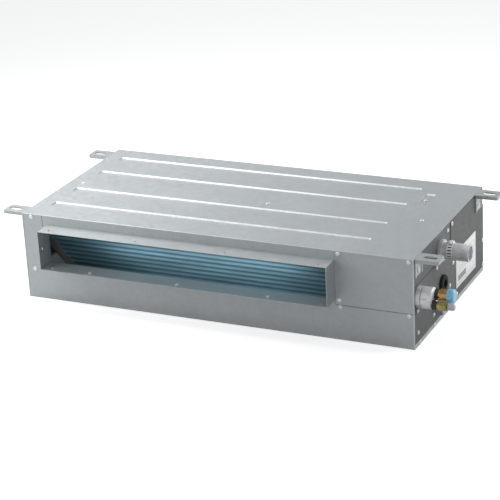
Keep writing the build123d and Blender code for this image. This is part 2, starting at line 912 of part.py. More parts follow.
# Drain pan
def pan_outline(grow):
    """Pan section as (y, z) points, grown outward where the partition clears it."""
    ramp_top = pan_front + pan_wall
    ramp_foot = ramp_top + pan_ramp_run
    rear_inner = pan_rear - pan_wall
    return (
        (pan_front - grow, sheet - grow),
        (pan_front - grow, pan_lip_z + grow),
        (ramp_top + grow, pan_lip_z + grow),
        (ramp_foot + grow, pan_floor_z + grow),
        (rear_inner - grow, pan_floor_z + grow),
        (rear_inner - grow, pan_rear_wall_z + grow),
        (pan_rear + grow, pan_rear_wall_z + grow),
        (pan_rear + grow, sheet - grow),
    )


def drain_pan():
    """Moulded tray under the coil, with a sloped front, end walls and a drain stub."""
    pan = section_x(pan_left, pan_right, pan_outline(0))
    base = sheet
    end_block = [
        (pan_front, base),
        (pan_front, pan_lip_z),
        coil_clear_point(pan_lip_z),
        coil_clear_point(coil_foot_z - pan_foot_drop),
        (pan_rear, base),
    ]
    pan += section_x(pan_left, pan_left + pan_wall, end_block)
    pan += block(pan_left, pan_left + pan_wall / 2, pan_front, pan_rear, base, pan_rear_wall_z)
    pan += block(pan_right - pan_wall, pan_right, pan_front, pan_rear, base, pan_end_height)
    rib_pitch = (coil_right - coil_left) / (pan_ribs + 1)
    rib_top = coil_foot_z - running_gap
    for i in range(pan_ribs):
        x0 = coil_left + (i + 1) * rib_pitch - pan_rib_width / 2
        rib_y = (coil_foot_y - pan_rib_front, coil_foot_y + pan_rib_rear)
        pan += block(x0, x0 + pan_rib_width, *rib_y, pan_floor_z, rib_top)
    stub_end = right + stub_reach
    stub_root = right + stub_step
    pan += rod_x(pan_right - 1, stub_root, stub_y, stub_z, stub_root_radius)
    pan += rod_x(stub_root, stub_end, stub_y, stub_z, stub_radius)
    pan -= rod_x(pan_right - pan_wall - 1, stub_end + 1, stub_y, stub_z, stub_bore)
    return pan


def coil_clear_point(z):
    """Point at height z that stands clear of the coil's front face."""
    s = (z - coil_foot_z) * coil_length / coil_rise
    y, height = coil_point(s, 0)
    return (y - pan_coil_gap, z)


def drain_plug():
    """Rubber bung in the drain stub."""
    end = right + stub_reach
    plug = rod_x(end - plug_length, end, stub_y, stub_z, stub_bore - fit_gap)
    return plug + rod_x(end, end + plug_head, stub_y, stub_z, (stub_radius + stub_bore) / 2)


# Fans
def scroll_points(extra):
    """Points round the scroll, from the tongue under the wheel to the throat's roof."""
    points = []
    for i in range(scroll_steps + 1):
        angle = -tongue_angle + scroll_sweep * i / scroll_steps
        radius = tongue_radius + scroll_growth * i / scroll_steps + extra
        y = shaft_y - radius * math.cos(math.radians(angle))
        z = shaft_z - radius * math.sin(math.radians(angle))
        points.append((y, z))
    return points


def scroll_air(x0, x1, extra):
    """Scroll and throat space as one solid, grown by extra for the outer skin."""
    points = scroll_points(extra)
    curve = Spline(*points)
    centre = (shaft_y, shaft_z)
    edges = [curve, Line(points[-1], centre), Line(centre, points[0])]
    spiral = make_face(Wire(edges))
    air = extrude(Plane.YZ.offset(x0) * spiral, amount=x1 - x0, dir=(1, 0, 0))
    roof = throat_roof_z + extra
    lip = throat_lip_z - extra
    mouth_y = deck_y + sheet - (0 if extra else 1)
    tongue_y = shaft_y - tongue_radius * math.cos(math.radians(tongue_angle))
    throat = (
        (mouth_y, lip),
        (tongue_y, lip),
        (shaft_y, shaft_z),
        (shaft_y, roof),
        (mouth_y, roof),
    )
    return air + section_x(x0, x1, throat)


def fan_housing(x0, x1):
    """Scroll casing with a round inlet in each side and a throat to the fan deck."""
    housing = scroll_air(x0, x1, fan_wall)
    housing -= scroll_air(x0 + fan_wall, x1 - fan_wall, 0)
    inlet = wheel_radius * inlet_share
    housing -= rod_x(x0 - 1, x1 + 1, shaft_y, shaft_z, inlet)
    for start, end in ((x0 - inlet_ring_length, x0), (x1, x1 + inlet_ring_length)):
        ring = pipe_x(start, end, shaft_y, shaft_z, inlet + inlet_ring_wall, inlet)
        housing += ring
    return housing


def fan_wheel(x0, x1):
    """Forward-curved wheel: blades between two rings, carried by a centre disc."""
    start = x0 + fan_wall + wheel_end_gap
    end = x1 - fan_wall - wheel_end_gap
    middle = (start + end) / 2
    inner = wheel_radius - blade_depth
    axis = Plane(origin=(start, shaft_y, shaft_z), x_dir=(0, 1, 0), z_dir=(1, 0, 0))
    bow = inner + blade_depth / 2
    outline = (
        (inner, 0),
        (bow, blade_lean),
        (wheel_radius, 0),
        (wheel_radius, blade_thickness),
        (bow, blade_lean + blade_thickness),
        (inner, blade_thickness),
    )
    blade = make_face(Polyline(*outline, close=True))
    blades = Sketch() + PolarLocations(0, blade_count) * blade
    wheel = pipe_x(start, start + ring_thickness, shaft_y, shaft_z, wheel_radius + 1, inner)
    wheel += pipe_x(end - ring_thickness, end, shaft_y, shaft_z, wheel_radius + 1, inner)
    disc = (middle - disc_thickness / 2, middle + disc_thickness / 2)
    wheel += rod_x(*disc, shaft_y, shaft_z, wheel_radius)
    wheel += extrude(axis * blades, amount=end - start)
    wheel += rod_x(middle - hub_length / 2, middle + hub_length / 2, shaft_y, shaft_z, hub_radius)
    return wheel - rod_x(x0, x1, shaft_y, shaft_z, shaft_radius + fit_gap)


def fan_motor():
    """Round motor with an end boss at each side and a bore for the shaft."""
    x0 = chamber_middle - motor_length / 2
    x1 = chamber_middle + motor_length / 2
    motor = rod_x(x0, x1, shaft_y, shaft_z, motor_radius)
    motor = chamfer(motor.edges().filter_by(GeomType.CIRCLE), motor_edge)
    boss = (x0 - motor_boss_length, x1 + motor_boss_length)
    motor += rod_x(*boss, shaft_y, shaft_z, motor_boss_radius)
    return motor - rod_x(boss[0] - 1, boss[1] + 1, shaft_y, shaft_z, shaft_radius + fit_gap)


def motor_bracket():
    """Band round the motor, joined to the fan deck by two upright webs and a foot."""
    half = motor_bracket_width / 2
    x0 = chamber_middle - half
    x1 = chamber_middle + half
    band = rod_x(x0, x1, shaft_y, shaft_z, motor_radius + motor_band)
    y0 = deck_y + sheet
    foot = (chamber_middle - 2 * half, chamber_middle + 2 * half)
    upright = (shaft_z - motor_web_height / 2, shaft_z + motor_web_height / 2)
    bracket = band + block(x0, x0 + bracket_web, y0, shaft_y, *upright)
    bracket += block(x1 - bracket_web, x1, y0, shaft_y, *upright)
    bracket += block(*foot, y0, y0 + bracket_web, *upright)
    return bracket - rod_x(x0 - 1, x1 + 1, shaft_y, shaft_z, motor_radius)


def fan_shaft():
    """Steel shaft through the motor, both wheels and the end bearing."""
    x0 = fan_spans[0][0] - shaft_left_reach
    x1 = fan_spans[1][1] - shaft_right_setback
    return rod_x(x0, x1, shaft_y, shaft_z, shaft_radius)


def bearing_bracket():
    """Arm from the fan deck that carries the shaft's far bearing."""
    x1 = fan_spans[0][0] - bearing_gap
    x0 = x1 - bearing_length
    y0 = deck_y + sheet
    upright = (shaft_z - bearing_arm_height / 2, shaft_z + bearing_arm_height / 2)
    arm = block(x0, x0 + bracket_web, y0, shaft_y, *upright)
    arm += block(x0 - bearing_foot, x0 + bracket_web, y0, y0 + bracket_web, *upright)
    arm += rod_x(x0, x1, shaft_y, shaft_z, bearing_radius)
    return arm - rod_x(x0 - 1, x1 + 1, shaft_y, shaft_z, shaft_radius + fit_gap)


# Pipe ends on the right side
def sleeve():
    """Foam sleeve round both refrigerant pipes, with one seam ring near the casing."""
    root = right - sleeve_root
    end = right + sleeve_reach
    foam = rod_x(root, end, sleeve_y, sleeve_z, sleeve_radius)
    foam = chamfer(foam.faces().sort_by(Axis.X)[-1].edges(), sleeve_edge)
    seam = right + sleeve_seam
    groove = rod_x(seam, seam + sheet, sleeve_y, sleeve_z, sleeve_radius + 1)
    foam -= groove - rod_x(seam - 1, seam + sheet + 1, sleeve_y, sleeve_z, sleeve_radius - sheet)
    foam -= rod_x(root - 1, end + 1, gas_y, gas_z, gas_tube_radius + fit_gap)
    return foam - rod_x(root - 1, end + 1, liquid_y, liquid_z, liquid_tube_radius + fit_gap)


def flare_nut(x0, length, y, z, flats, tube_radius_here, flare_radius):
    """Hexagonal flare nut with a round shoulder, free to turn behind the flare."""
    end = x0 + length
    nut = hex_bar(x0, end, y, z, flats)
    nut += rod_x(x0 - nut_shoulder, x0, y, z, flats / 2 - nut_wall)
    nut -= rod_x(x0 - nut_shoulder - 1, end + 1, y, z, tube_radius_here + fit_gap)
    return nut - rod_x(x0 + nut_floor, end + 1, y, z, flare_radius + running_gap)


def pipe_cap(x0, y, z, radius, flare_radius):
    """Dust cap plugged into the open end of a flare nut at x0."""
    head = rod_x(x0, x0 + cap_length, y, z, radius)
    head = chamfer(head.edges().filter_by(GeomType.CIRCLE), cap_edge)
    return head + rod_x(x0 - cap_plug, x0 + 1, y, z, flare_radius)


def pipe_plate():
    """Screwed-on plate with a clear hole for each pipe, the stub and the grommet."""
    plate = block(right, plate_outer, plate_front, plate_rear, plate_base, plate_top)
    corners = [edge for edge in plate.edges().filter_by(Axis.X) if edge.center().Y > plate_rear - 1]
    plate = fillet(corners, 6.0)
    x0 = right - 1
    x1 = plate_outer + 1
    plate -= rod_x(x0, x1, sleeve_y, sleeve_z, sleeve_radius + running_gap)
    plate -= rod_x(x0, x1, stub_y, stub_z, stub_radius + running_gap)
    plate -= rod_x(x0, x1, hose_y, hose_z, hose_flange_radius + running_gap)
    return plate - rod_x(x0, x1, grommet_y, grommet_z, grommet_radius - grommet_wall)


def cable_grommet():
    """Rubber grommet gripping the pipe plate, with an outer lip and a cable bore."""
    lip_end = plate_outer + grommet_lip
    ring = rod_x(plate_outer, lip_end, grommet_y, grommet_z, grommet_radius)
    ring = chamfer(ring.faces().sort_by(Axis.X)[-1].edges(), grommet_lip / 3)
    seat = grommet_radius - grommet_wall - fit_gap
    ring += rod_x(right, plate_outer, grommet_y, grommet_z, seat)
    ring += rod_x(right - grommet_wall, right, grommet_y, grommet_z, grommet_radius - sheet)
    return ring - rod_x(right - grommet_lip, lip_end + 1, grommet_y, grommet_z, grommet_bore)


# Drain pump
def drain_hose():
    """Short hose on the pump outlet, with a flange against the side sheet."""
    end = right + hose_reach
    hose = rod_x(right, end, hose_y, hose_z, hose_radius)
    hose += rod_x(right, right + hose_flange_length, hose_y, hose_z, hose_flange_radius)
    return hose - rod_x(right - 1, end + 1, hose_y, hose_z, hose_bore)


def hose_clamp():
    """Perforated band clamp on the hose."""
    x0 = right + clamp_reach
    outer = hose_radius + fit_gap + clamp_wall
    band = pipe_x(x0, x0 + clamp_width, hose_y, hose_z, outer, hose_radius + fit_gap)
    tail_x = (x0 + clamp_wall, x0 + clamp_width - clamp_wall)
    tail_y = (hose_y - clamp_width / 3, hose_y + clamp_width / 3)
    crown = hose_z + outer
    tail = block(*tail_x, *tail_y, crown - clamp_wall / 2, crown + 3 * clamp_wall)
    return band + tail


def pump_riser():
    """Pipe from the pump up and out through the side sheet into the hose."""
    points = (
        (pump_x + pump_radius + pump_outlet, hose_y, riser_foot_z()),
        (riser_x, hose_y, riser_foot_z()),
        (riser_x, hose_y, hose_z),
        (right - running_gap, hose_y, hose_z),
    )
    riser = tube_along(FilletPolyline(*points, radius=riser_bend_radius), riser_radius)
    return riser + rod_x(right - spigot_length, right - running_gap, hose_y, hose_z, spigot_radius)


def riser_foot_z():
    """Height of the pump's outlet."""
    return pump_base_z + pump_height / 2


def drain_pump():
    """Pump chamber hung under its bracket, with the motor above and a side outlet."""
    chamber_top = pump_base_z + pump_height
    pump = rod_z(pump_base_z, chamber_top, pump_x, hose_y, pump_radius)
    pump += rod_x(pump_x, pump_x + pump_radius + pump_outlet, hose_y, riser_foot_z(), riser_radius)
    inner = pump_radius - pump_wall
    pump -= rod_z(pump_base_z + pump_wall, chamber_top - pump_wall, pump_x, hose_y, inner)
    pump -= rod_z(pump_base_z - 1, pump_base_z + pump_wall + 1, pump_x, hose_y, pump_inlet_radius)
    outlet = (pump_x + pump_radius - pump_wall - 2, pump_x + pump_radius + pump_outlet + 1)
    pump -= rod_x(*outlet, hose_y, riser_foot_z(), riser_bore)
    pump += pump_neck(chamber_top)
    motor_top = bracket_z + bracket_plate + pump_motor_height
    pump += rod_z(bracket_z + bracket_plate, motor_top, pump_x, hose_y, pump_motor_radius)
    spindle_room = (chamber_top - pump_wall - 1, motor_top - spindle_cover)
    pump -= rod_z(*spindle_room, pump_x, hose_y, spindle_radius + fit_gap)
    return pump


def pump_neck(chamber_top):
    """Neck between the pump chamber and its motor."""
    return rod_z(chamber_top, bracket_z + bracket_plate, pump_x, hose_y, pump_neck_radius)


def pump_impeller():
    """Vaned impeller on the pump's upright spindle."""
    base = pump_base_z + pump_wall + impeller_gap
    wheel = rod_z(base, base + impeller_plate, pump_x, hose_y, impeller_radius)
    vane_sides = (hose_y - vane_thickness / 2, hose_y + vane_thickness / 2)
    vane_ends = (pump_x + vane_root, pump_x + impeller_radius)
    spoke = block(*vane_ends, *vane_sides, base, base + vane_height)
    for i in range(impeller_vanes):
        turn = Pos(pump_x, hose_y, 0) * Rot(0, 0, 360 / impeller_vanes * i)
        wheel += turn * Pos(-pump_x, -hose_y, 0) * spoke
    wheel += rod_z(base, base + impeller_hub_length, pump_x, hose_y, impeller_hub_radius)
    motor_top = bracket_z + bracket_plate + pump_motor_height
    spindle_top = motor_top - spindle_cover - spindle_end_gap
    return wheel + rod_z(base, spindle_top, pump_x, hose_y, spindle_radius)


def pump_bracket():
    """Plate bolted to the side sheet, holding the pump and the float switch."""
    x0 = pump_x - bracket_left_reach
    x1 = right - sheet
    grommet_side = grommet_y - grommet_radius - bracket_side_gap
    plate = block(x0, x1, bracket_y0, grommet_side, bracket_z, bracket_z + bracket_plate)
    plate += block(x0, x1 - bracket_notch, grommet_side, bracket_y1, bracket_z, bracket_z + bracket_plate)
    tab_top = plate_top + bracket_tab_rise
    tab_side = hose_y - hose_bore - bracket_tab_gap
    plate += block(x1 - bracket_plate, x1, bracket_y0, tab_side, bracket_z, tab_top)
    through = (bracket_z - 1, bracket_z + bracket_plate + 1)
    plate -= rod_z(*through, pump_x, hose_y, pump_neck_radius + fit_gap)
    plate -= rod_z(*through, riser_x, hose_y, riser_radius + running_gap)
    return plate - rod_z(*through, float_x, float_y, float_head_radius + fit_gap)


def float_switch():
    """Float switch stem hung from the bracket, with a stop disc at its foot."""
    foot = pan_floor_z + float_foot_gap
    head_top = bracket_z + float_head_rise
    head_base = bracket_z - float_head_drop
    stem = rod_z(foot, head_top, float_x, float_y, float_stem_radius)
    stem += rod_z(foot, foot + float_stop, float_x, float_y, float_stem_radius + float_stop_lip)
    stem += rod_z(head_base, head_top, float_x, float_y, float_head_radius)
    return stem + rod_z(head_base, bracket_z, float_x, float_y, float_collar_radius)


def float_ring():
    """Buoyant ring that rises on the stem."""
    base = pan_floor_z + float_foot_gap + float_stop
    ring = rod_z(base, base + float_height, float_x, float_y, float_radius)
    bore = float_stem_radius + float_slide_gap
    return ring - rod_z(base - 1, base + float_height + 1, float_x, float_y, bore)


# Electrical box
def electrical_box():
    """Open tray that the cover closes from outside."""
    x1 = right - sheet
    tray = block(box_x, x1, box_y0, box_y1, box_z0, box_z1)
    inner_y = (box_y0 + sheet, box_y1 - sheet)
    return tray - block(box_x + sheet, x1 + 1, *inner_y, box_z0 + sheet, box_z1 - sheet)


def electrical_cover():
    """Outer cover with a notch for the pipe plate and one for the rear hanger."""
    y0 = rear - cover_front_inset
    x0 = right - 1
    x1 = plate_outer + 1
    cover = block(right, plate_outer, y0, rear, plate_base, body_height - cover_top_drop)
    cover -= block(x0, x1, y0 - 1, plate_rear + running_gap, 0, plate_top + running_gap)
    leg_y = hanger_middles[1] - hanger_width / 2 - running_gap
    leg_z = body_height - hanger_leg - 2 * running_gap
    return cover - block(x0, x1, leg_y, rear + 1, leg_z, body_height)


def circuit_board():
    """Control board on four posts, with its larger components."""
    x0 = box_x + sheet + board_gap
    y0 = box_y0 + board_front_inset
    y1 = box_y1 - board_rear_inset
    z0 = box_z0 + board_base
    z1 = box_z1 - board_top_drop
    board = block(x0, x0 + board_thickness, y0, y1, z0, z1)
    for y in (y0 + board_post_inset, y1 - board_post_inset):
        for z in (z0 + board_post_inset, z1 - board_post_inset):
            board += rod_x(box_x + sheet, x0, y, z, board_post_radius)
    face = x0 + board_thickness
    relay_z = (z0 + z1) / 2 + relay_rise
    relay_y = y0 + relay_inset
    for i in range(relays):
        y = relay_y + relay_pitch * i
        board += block(face, face + relay_height, y, y + relay_size, relay_z, relay_z + relay_size)
    socket_z = z0 + socket_rise
    socket_y = (relay_y, relay_y + socket_length)
    board += block(face, face + socket_width, *socket_y, socket_z, socket_z + socket_width)
    capacitor_y = y1 - capacitor_inset
    return board + rod_x(face, face + capacitor_length, capacitor_y, z0 + capacitor_rise, capacitor_radius)


def terminal_block():
    """Row of screw terminals on the floor of the electrical box."""
    x0 = box_x + sheet
    y0 = box_y0 + board_front_inset
    z0 = box_z0 + terminal_rise
    top = z0 + terminal_height
    strip = block(x0, x0 + terminal_depth, y0, y0 + terminal_length, z0, top)
    for i in range(terminal_ways):
        y = y0 + terminal_pitch - terminal_slot + terminal_pitch * i
        slot = (x0 + terminal_floor, x0 + terminal_depth + 1, y, y + terminal_slot)
        strip -= block(*slot, z0 - 1, top + 1)
    return strip


def transformer():
    """Small mains transformer beside the terminal strip."""
    x0 = box_x + sheet
    x1 = x0 + transformer_depth
    y0 = box_y0 + transformer_inset
    y1 = y0 + transformer_width
    z0 = box_z0 + transformer_rise
    z1 = z0 + transformer_height
    winding = (x0 + winding_step, x1 - winding_step, y0 - winding_step, y1 + winding_step)
    return block(x0, x1, y0, y1, z0, z1) + block(*winding, z0 + winding_drop, z1 - winding_drop)


def side_foam():
    """Foam lining inside the left side sheet, in front of the fan deck."""
    x0 = left + sheet
    return block(x0, x0 + foam_thickness, front + sheet, deck_y, 2 * sheet, under_top - sheet)


# Fasteners
def screw(x, y, z, facing):
    """Flat screw head seated on a face that looks along facing."""
    seat = Plane(origin=(x, y, z), z_dir=facing)
    return extrude(seat * Circle(screw_head_radius), amount=screw_head_height)


def top_screws():
    """Screws through the top sheet into the fan deck, and one in the short recess."""
    service_middle = right - service_width / 3
    across = (left + groove_left_inset, chamber_middle + top_screw_offset, service_middle)
    screws = [screw(x, deck_y, body_height, (0, 0, 1)) for x in across]
    short_x = right - short_recess_inset + short_recess_width / 2
    recess_y = rear - short_recess_rear_inset - short_recess_length / 2
    screws.append(screw(short_x, recess_y, body_height - groove_depth, (0, 0, 1)))
    return screws


def front_screws():
    """Screws in the front column, the lower flange and the service cover."""
    high = body_height - screw_inset
    low = lower_front_height - cover_low_drop
    places = [
        (left + column_screw_inset, high),
        (left + flange_screw_inset, lower_front_height - flange_screw_drop),
        (service_x + cover_screw_inset, high),
        (service_x + cover_screw_inset, lower_front_height + cover_screw_rise),
        (service_x + cover_low_inset, low),
        (right - cover_edge_inset, high),
        (right - cover_edge_inset, low),
    ]
    return [screw(x, front, z, (0, -1, 0)) for x, z in places]


def side_screws():
    """Screws round the pipe plate, the electrical cover and the side flange."""
    plate_places = [
        (plate_front + plate_screw_inset, plate_screw_z),
        (plate_front + plate_screw_inset, plate_top - plate_screw_drop),
        (plate_front + stub_screw_inset, stub_screw_z),
        (plate_front + hose_screw_inset, plate_top - hose_screw_drop),
        (plate_rear - edge_screw_inset, plate_top - edge_screw_drop),
        (plate_rear - grommet_screw_inset, grommet_screw_z),
    ]
    cover_y = rear - cover_front_inset
    low = plate_base + box_screw_inset
    cover_places = [
        (cover_y + box_screw_inset, body_height - box_screw_drop),
        (rear - box_screw_inset, box_screw_z),
        (rear - box_screw_inset, low),
        (plate_rear + box_front_screw_inset, low),
    ]
    flange_z = (side_flange_height + sheet) / 2
    flange_places = [(front + inset, flange_z) for inset in side_flange_screws]
    outer_places = plate_places + cover_places + flange_places
    heads = [screw(plate_outer, y, z, (1, 0, 0)) for y, z in outer_places]
    heads.append(screw(right, cover_y - panel_screw_inset, body_height - panel_screw_drop, (1, 0, 0)))
    return heads


def hanger_screws():
    """One screw through each hanger leg."""
    heads = []
    for side in (-1, 1):
        for middle in hanger_middles:
            place = (side * (right + hanger_plate), middle, body_height - hanger_leg * hanger_screw_share)
            heads.append(screw(*place, (side, 0, 0)))
    return heads


def collar_screws():
    """Screws along the collar's lower wall."""
    places = duct_hole_places()
    heads = []
    for a, b in zip(places, places[1:]):
        seat = ((a + b) / 2 - collar_screw_offset, collar_front + duct_hole_setback, collar_base_z + sheet)
        heads.append(screw(*seat, (0, 0, 1)))
    return heads


def rear_screws():
    """Screws round the inlet frame and the rear service cover."""
    across = (left + rear_screw_inset, partition_x - rear_screw_drop, right - cover_edge_inset)
    heights = (under_top - rear_screw_drop, rear_flange_height + rear_screw_drop)
    return [screw(x, rear, z, (0, 1, 0)) for x in across for z in heights]


# Write every piece
save("top_panel", top_panel())
save("bottom_panel", bottom_panel())
save("left_side_panel", left_side_panel())
save("right_side_panel", right_side_panel())
save("front_right_panel", front_right_panel())
save("rear_right_panel", rear_right_panel())
save("outlet_collar", outlet_collar())
save("partition_wall", partition())
save("fan_deck", fan_deck())
save("inlet_frame", inlet_frame())
save("side_foam", side_foam())
for side, side_name in ((-1, "left"), (1, "right")):
    for middle, place_name in zip(hanger_middles, ("front", "rear")):
        save(f"hanger_{place_name}_{side_name}", hanger(side, middle))
save("filter_rails", filter_rail(False), filter_rail(True))
save("air_filter", air_filter())
save("coil_fins", fin_pack())
save("coil_tubes", *coil_tubes())
save("coil_end_plate_left", coil_end_plate(True))
save("coil_end_plate_right", coil_end_plate(False))
save("gas_header", gas_header())
save("gas_pipe", gas_pipe())
save("liquid_pipe", liquid_pipe())
save("liquid_distributor", distributor())
save("capillary_tubes", *capillaries())
save("drain_pan", drain_pan())
save("drain_plug", drain_plug())
for span, side_name in zip(fan_spans, ("left", "right")):
    save(f"fan_housing_{side_name}", fan_housing(*span))
    save(f"fan_wheel_{side_name}", fan_wheel(*span))
save("fan_shaft", fan_shaft())
save("fan_motor", fan_motor())
save("motor_bracket", motor_bracket())
save("bearing_bracket", bearing_bracket())
save("pipe_sleeve", sleeve())
gas_place = (gas_y, gas_z)
gas_nut_x = right + gas_nut_reach
gas_sizes = (gas_nut_flats, gas_tube_radius, gas_flare_radius)
save("gas_nut", flare_nut(gas_nut_x, gas_nut_length, *gas_place, *gas_sizes))
save("gas_cap", pipe_cap(gas_nut_x + gas_nut_length, *gas_place, gas_cap_radius, gas_flare_radius))
liquid_place = (liquid_y, liquid_z)
liquid_nut_x = right + liquid_nut_reach
liquid_end = liquid_nut_x + liquid_nut_length
liquid_sizes = (liquid_nut_flats, liquid_tube_radius, liquid_flare_radius)
save("liquid_nut", flare_nut(liquid_nut_x, liquid_nut_length, *liquid_place, *liquid_sizes))
save("liquid_cap", pipe_cap(liquid_end, *liquid_place, liquid_cap_radius, liquid_flare_radius))
save("pipe_plate", pipe_plate())
save("cable_grommet", cable_grommet())
save("drain_hose", drain_hose())
save("hose_clamp", hose_clamp())
save("pump_riser", pump_riser())
save("drain_pump", drain_pump())
save("pump_impeller", pump_impeller())
save("pump_bracket", pump_bracket())
save("float_switch", float_switch())
save("float_ring", float_ring())
save("electrical_box", electrical_box())
save("electrical_cover", electrical_cover())
save("circuit_board", circuit_board())
save("terminal_block", terminal_block())
save("transformer", transformer())
save("casing_screws", *top_screws(), *front_screws(), *side_screws(), *rear_screws())
save("hanger_screws", *hanger_screws())
save("collar_screws", *collar_screws())
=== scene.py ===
import math

import bpy
from mathutils import Matrix, Vector


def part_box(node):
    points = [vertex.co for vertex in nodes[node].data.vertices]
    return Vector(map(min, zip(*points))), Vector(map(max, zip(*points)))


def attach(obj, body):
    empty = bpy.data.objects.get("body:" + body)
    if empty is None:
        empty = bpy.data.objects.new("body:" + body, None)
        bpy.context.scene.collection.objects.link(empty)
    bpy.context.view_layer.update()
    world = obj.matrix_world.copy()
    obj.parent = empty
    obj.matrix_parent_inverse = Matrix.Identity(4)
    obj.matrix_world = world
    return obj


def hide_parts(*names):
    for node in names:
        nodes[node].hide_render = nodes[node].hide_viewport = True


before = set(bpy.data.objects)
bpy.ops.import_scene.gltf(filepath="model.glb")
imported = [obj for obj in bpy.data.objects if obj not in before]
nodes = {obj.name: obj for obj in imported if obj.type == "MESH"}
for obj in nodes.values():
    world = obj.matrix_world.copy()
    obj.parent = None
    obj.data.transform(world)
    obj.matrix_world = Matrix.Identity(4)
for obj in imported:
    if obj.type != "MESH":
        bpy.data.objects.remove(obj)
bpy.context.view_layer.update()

MM = 0.001
BODY = "casing"

# Camera of the photograph
CAMERA_PLACE = (1.546063, -3.25649, 1.50734)
CAMERA_AZIMUTH = math.radians(25.569)
CAMERA_ELEVATION = math.radians(21.677)
CAMERA_ROLL = math.radians(-3.018)
CAMERA_SENSOR = 36.0
CAMERA_LENS = 134.42

# Studio
FLOOR_SIZE = 30.0
FLOOR_GAP = 0.5 * MM
FLOOR_GREY = (0.42, 0.42, 0.42)
FLOOR_WHITE = (0.94, 0.94, 0.94)
FLOOR_LIFT = (0.56, 0.56, 0.56)
WORLD_GREY = (0.33, 0.335, 0.34)
WORLD_SHEEN = (0.55, 0.56, 0.57)

# Casing edges
FOLD_RADIUS = 1.1 * MM
SEAM_RADIUS = 0.8 * MM
LIP_HEIGHT = 2.5 * MM
LIP_WIDTH = 2.0 * MM
SEAM_REACH = 10.5 * MM

# Coil fins
FIN_PITCH = 1.7 * MM
FIN_THICKNESS = 0.9 * MM
FIN_WAVE = 1.4 * MM
TUBE_PITCH = 21.0 * MM
COIL_THICKNESS = 27.0 * MM
COIL_MARGIN = 2.9 * MM

# Screws
RECESS_WIDTH = 0.7 * MM
RECESS_DEPTH = 0.7 * MM

# Return air filter
THREAD_PITCH = 3.5 * MM
THREAD_THICKNESS = 0.55 * MM
FILTER_BORDER = 10.0 * MM


# Material nodes
def new_material(name, roughness, metallic=0.0, coat=0.0):
    """Material with its fixed finish set on the shader, and Object coordinates ready to read."""
    material = bpy.data.materials.new(name)
    material.use_nodes = True
    tree = material.node_tree
    shader = tree.nodes["Principled BSDF"]
    shader.inputs["Roughness"].default_value = roughness
    shader.inputs["Metallic"].default_value = metallic
    shader.inputs["Coat Weight"].default_value = coat
    place = tree.nodes.new("ShaderNodeTexCoord").outputs["Object"]
    return material, tree, shader, place


def stretched(tree, place, scale):
    """Coordinates stretched along the axes, for grain and rolling lines."""
    mapping = tree.nodes.new("ShaderNodeMapping")
    mapping.inputs["Scale"].default_value = scale
    tree.links.new(place, mapping.inputs["Vector"])
    return mapping.outputs["Vector"]


def noise(tree, place, scale, detail=3.0, rough=0.5):
    """Soft cloudy pattern from 0 to 1."""
    texture = tree.nodes.new("ShaderNodeTexNoise")
    texture.inputs["Scale"].default_value = scale
    texture.inputs["Detail"].default_value = detail
    texture.inputs["Roughness"].default_value = rough
    tree.links.new(place, texture.inputs["Vector"])
    return texture.outputs["Fac"]


def cells(tree, place, scale):
    """Crystal pattern: one random value in each cell."""
    texture = tree.nodes.new("ShaderNodeTexVoronoi")
    texture.inputs["Scale"].default_value = scale
    tree.links.new(place, texture.inputs["Vector"])
    split = tree.nodes.new("ShaderNodeSeparateColor")
    tree.links.new(texture.outputs["Color"], split.inputs["Color"])
    return split.outputs["Red"]


def ramp(tree, value, stops):
    """Colours or greys along a value."""
    node = tree.nodes.new("ShaderNodeValToRGB")
    band = node.color_ramp
    while len(band.elements) < len(stops):
        band.elements.new(0.5)
    for element, (position, colour) in zip(band.elements, stops):
        element.position = position
        element.color = (*colour, 1.0)
    tree.links.new(value, node.inputs["Fac"])
    return node.outputs["Color"]


def mixed(tree, share, first, second, blend="MIX"):
    """Two colours mixed by a fixed or a painted share."""
    node = tree.nodes.new("ShaderNodeMix")
    node.data_type = "RGBA"
    node.blend_type = blend
    colours = [socket for socket in node.inputs if socket.type == "RGBA"]
    if isinstance(share, float):
        node.inputs[0].default_value = share
    else:
        tree.links.new(share, node.inputs[0])
    for socket, value in zip(colours, (first, second)):
        if isinstance(value, tuple):
            socket.default_value = (*value, 1.0)
        else:
            tree.links.new(value, socket)
    return [socket for socket in node.outputs if socket.type == "RGBA"][0]


def spread(tree, value, low, high):
    """A 0 to 1 value moved to the range from low to high."""
    node = tree.nodes.new("ShaderNodeMapRange")
    node.inputs["To Min"].default_value = low
    node.inputs["To Max"].default_value = high
    tree.links.new(value, node.inputs["Value"])
    return node.outputs["Result"]


def bump(tree, shader, height, strength, distance):
    """Small relief on the surface."""
    node = tree.nodes.new("ShaderNodeBump")
    node.inputs["Strength"].default_value = strength
    node.inputs["Distance"].default_value = distance
    tree.links.new(height, node.inputs["Height"])
    tree.links.new(node.outputs["Normal"], shader.inputs["Normal"])


def shade(colour, factor):
    """A colour made lighter or darker."""
    return tuple(min(1.0, part * factor) for part in colour)


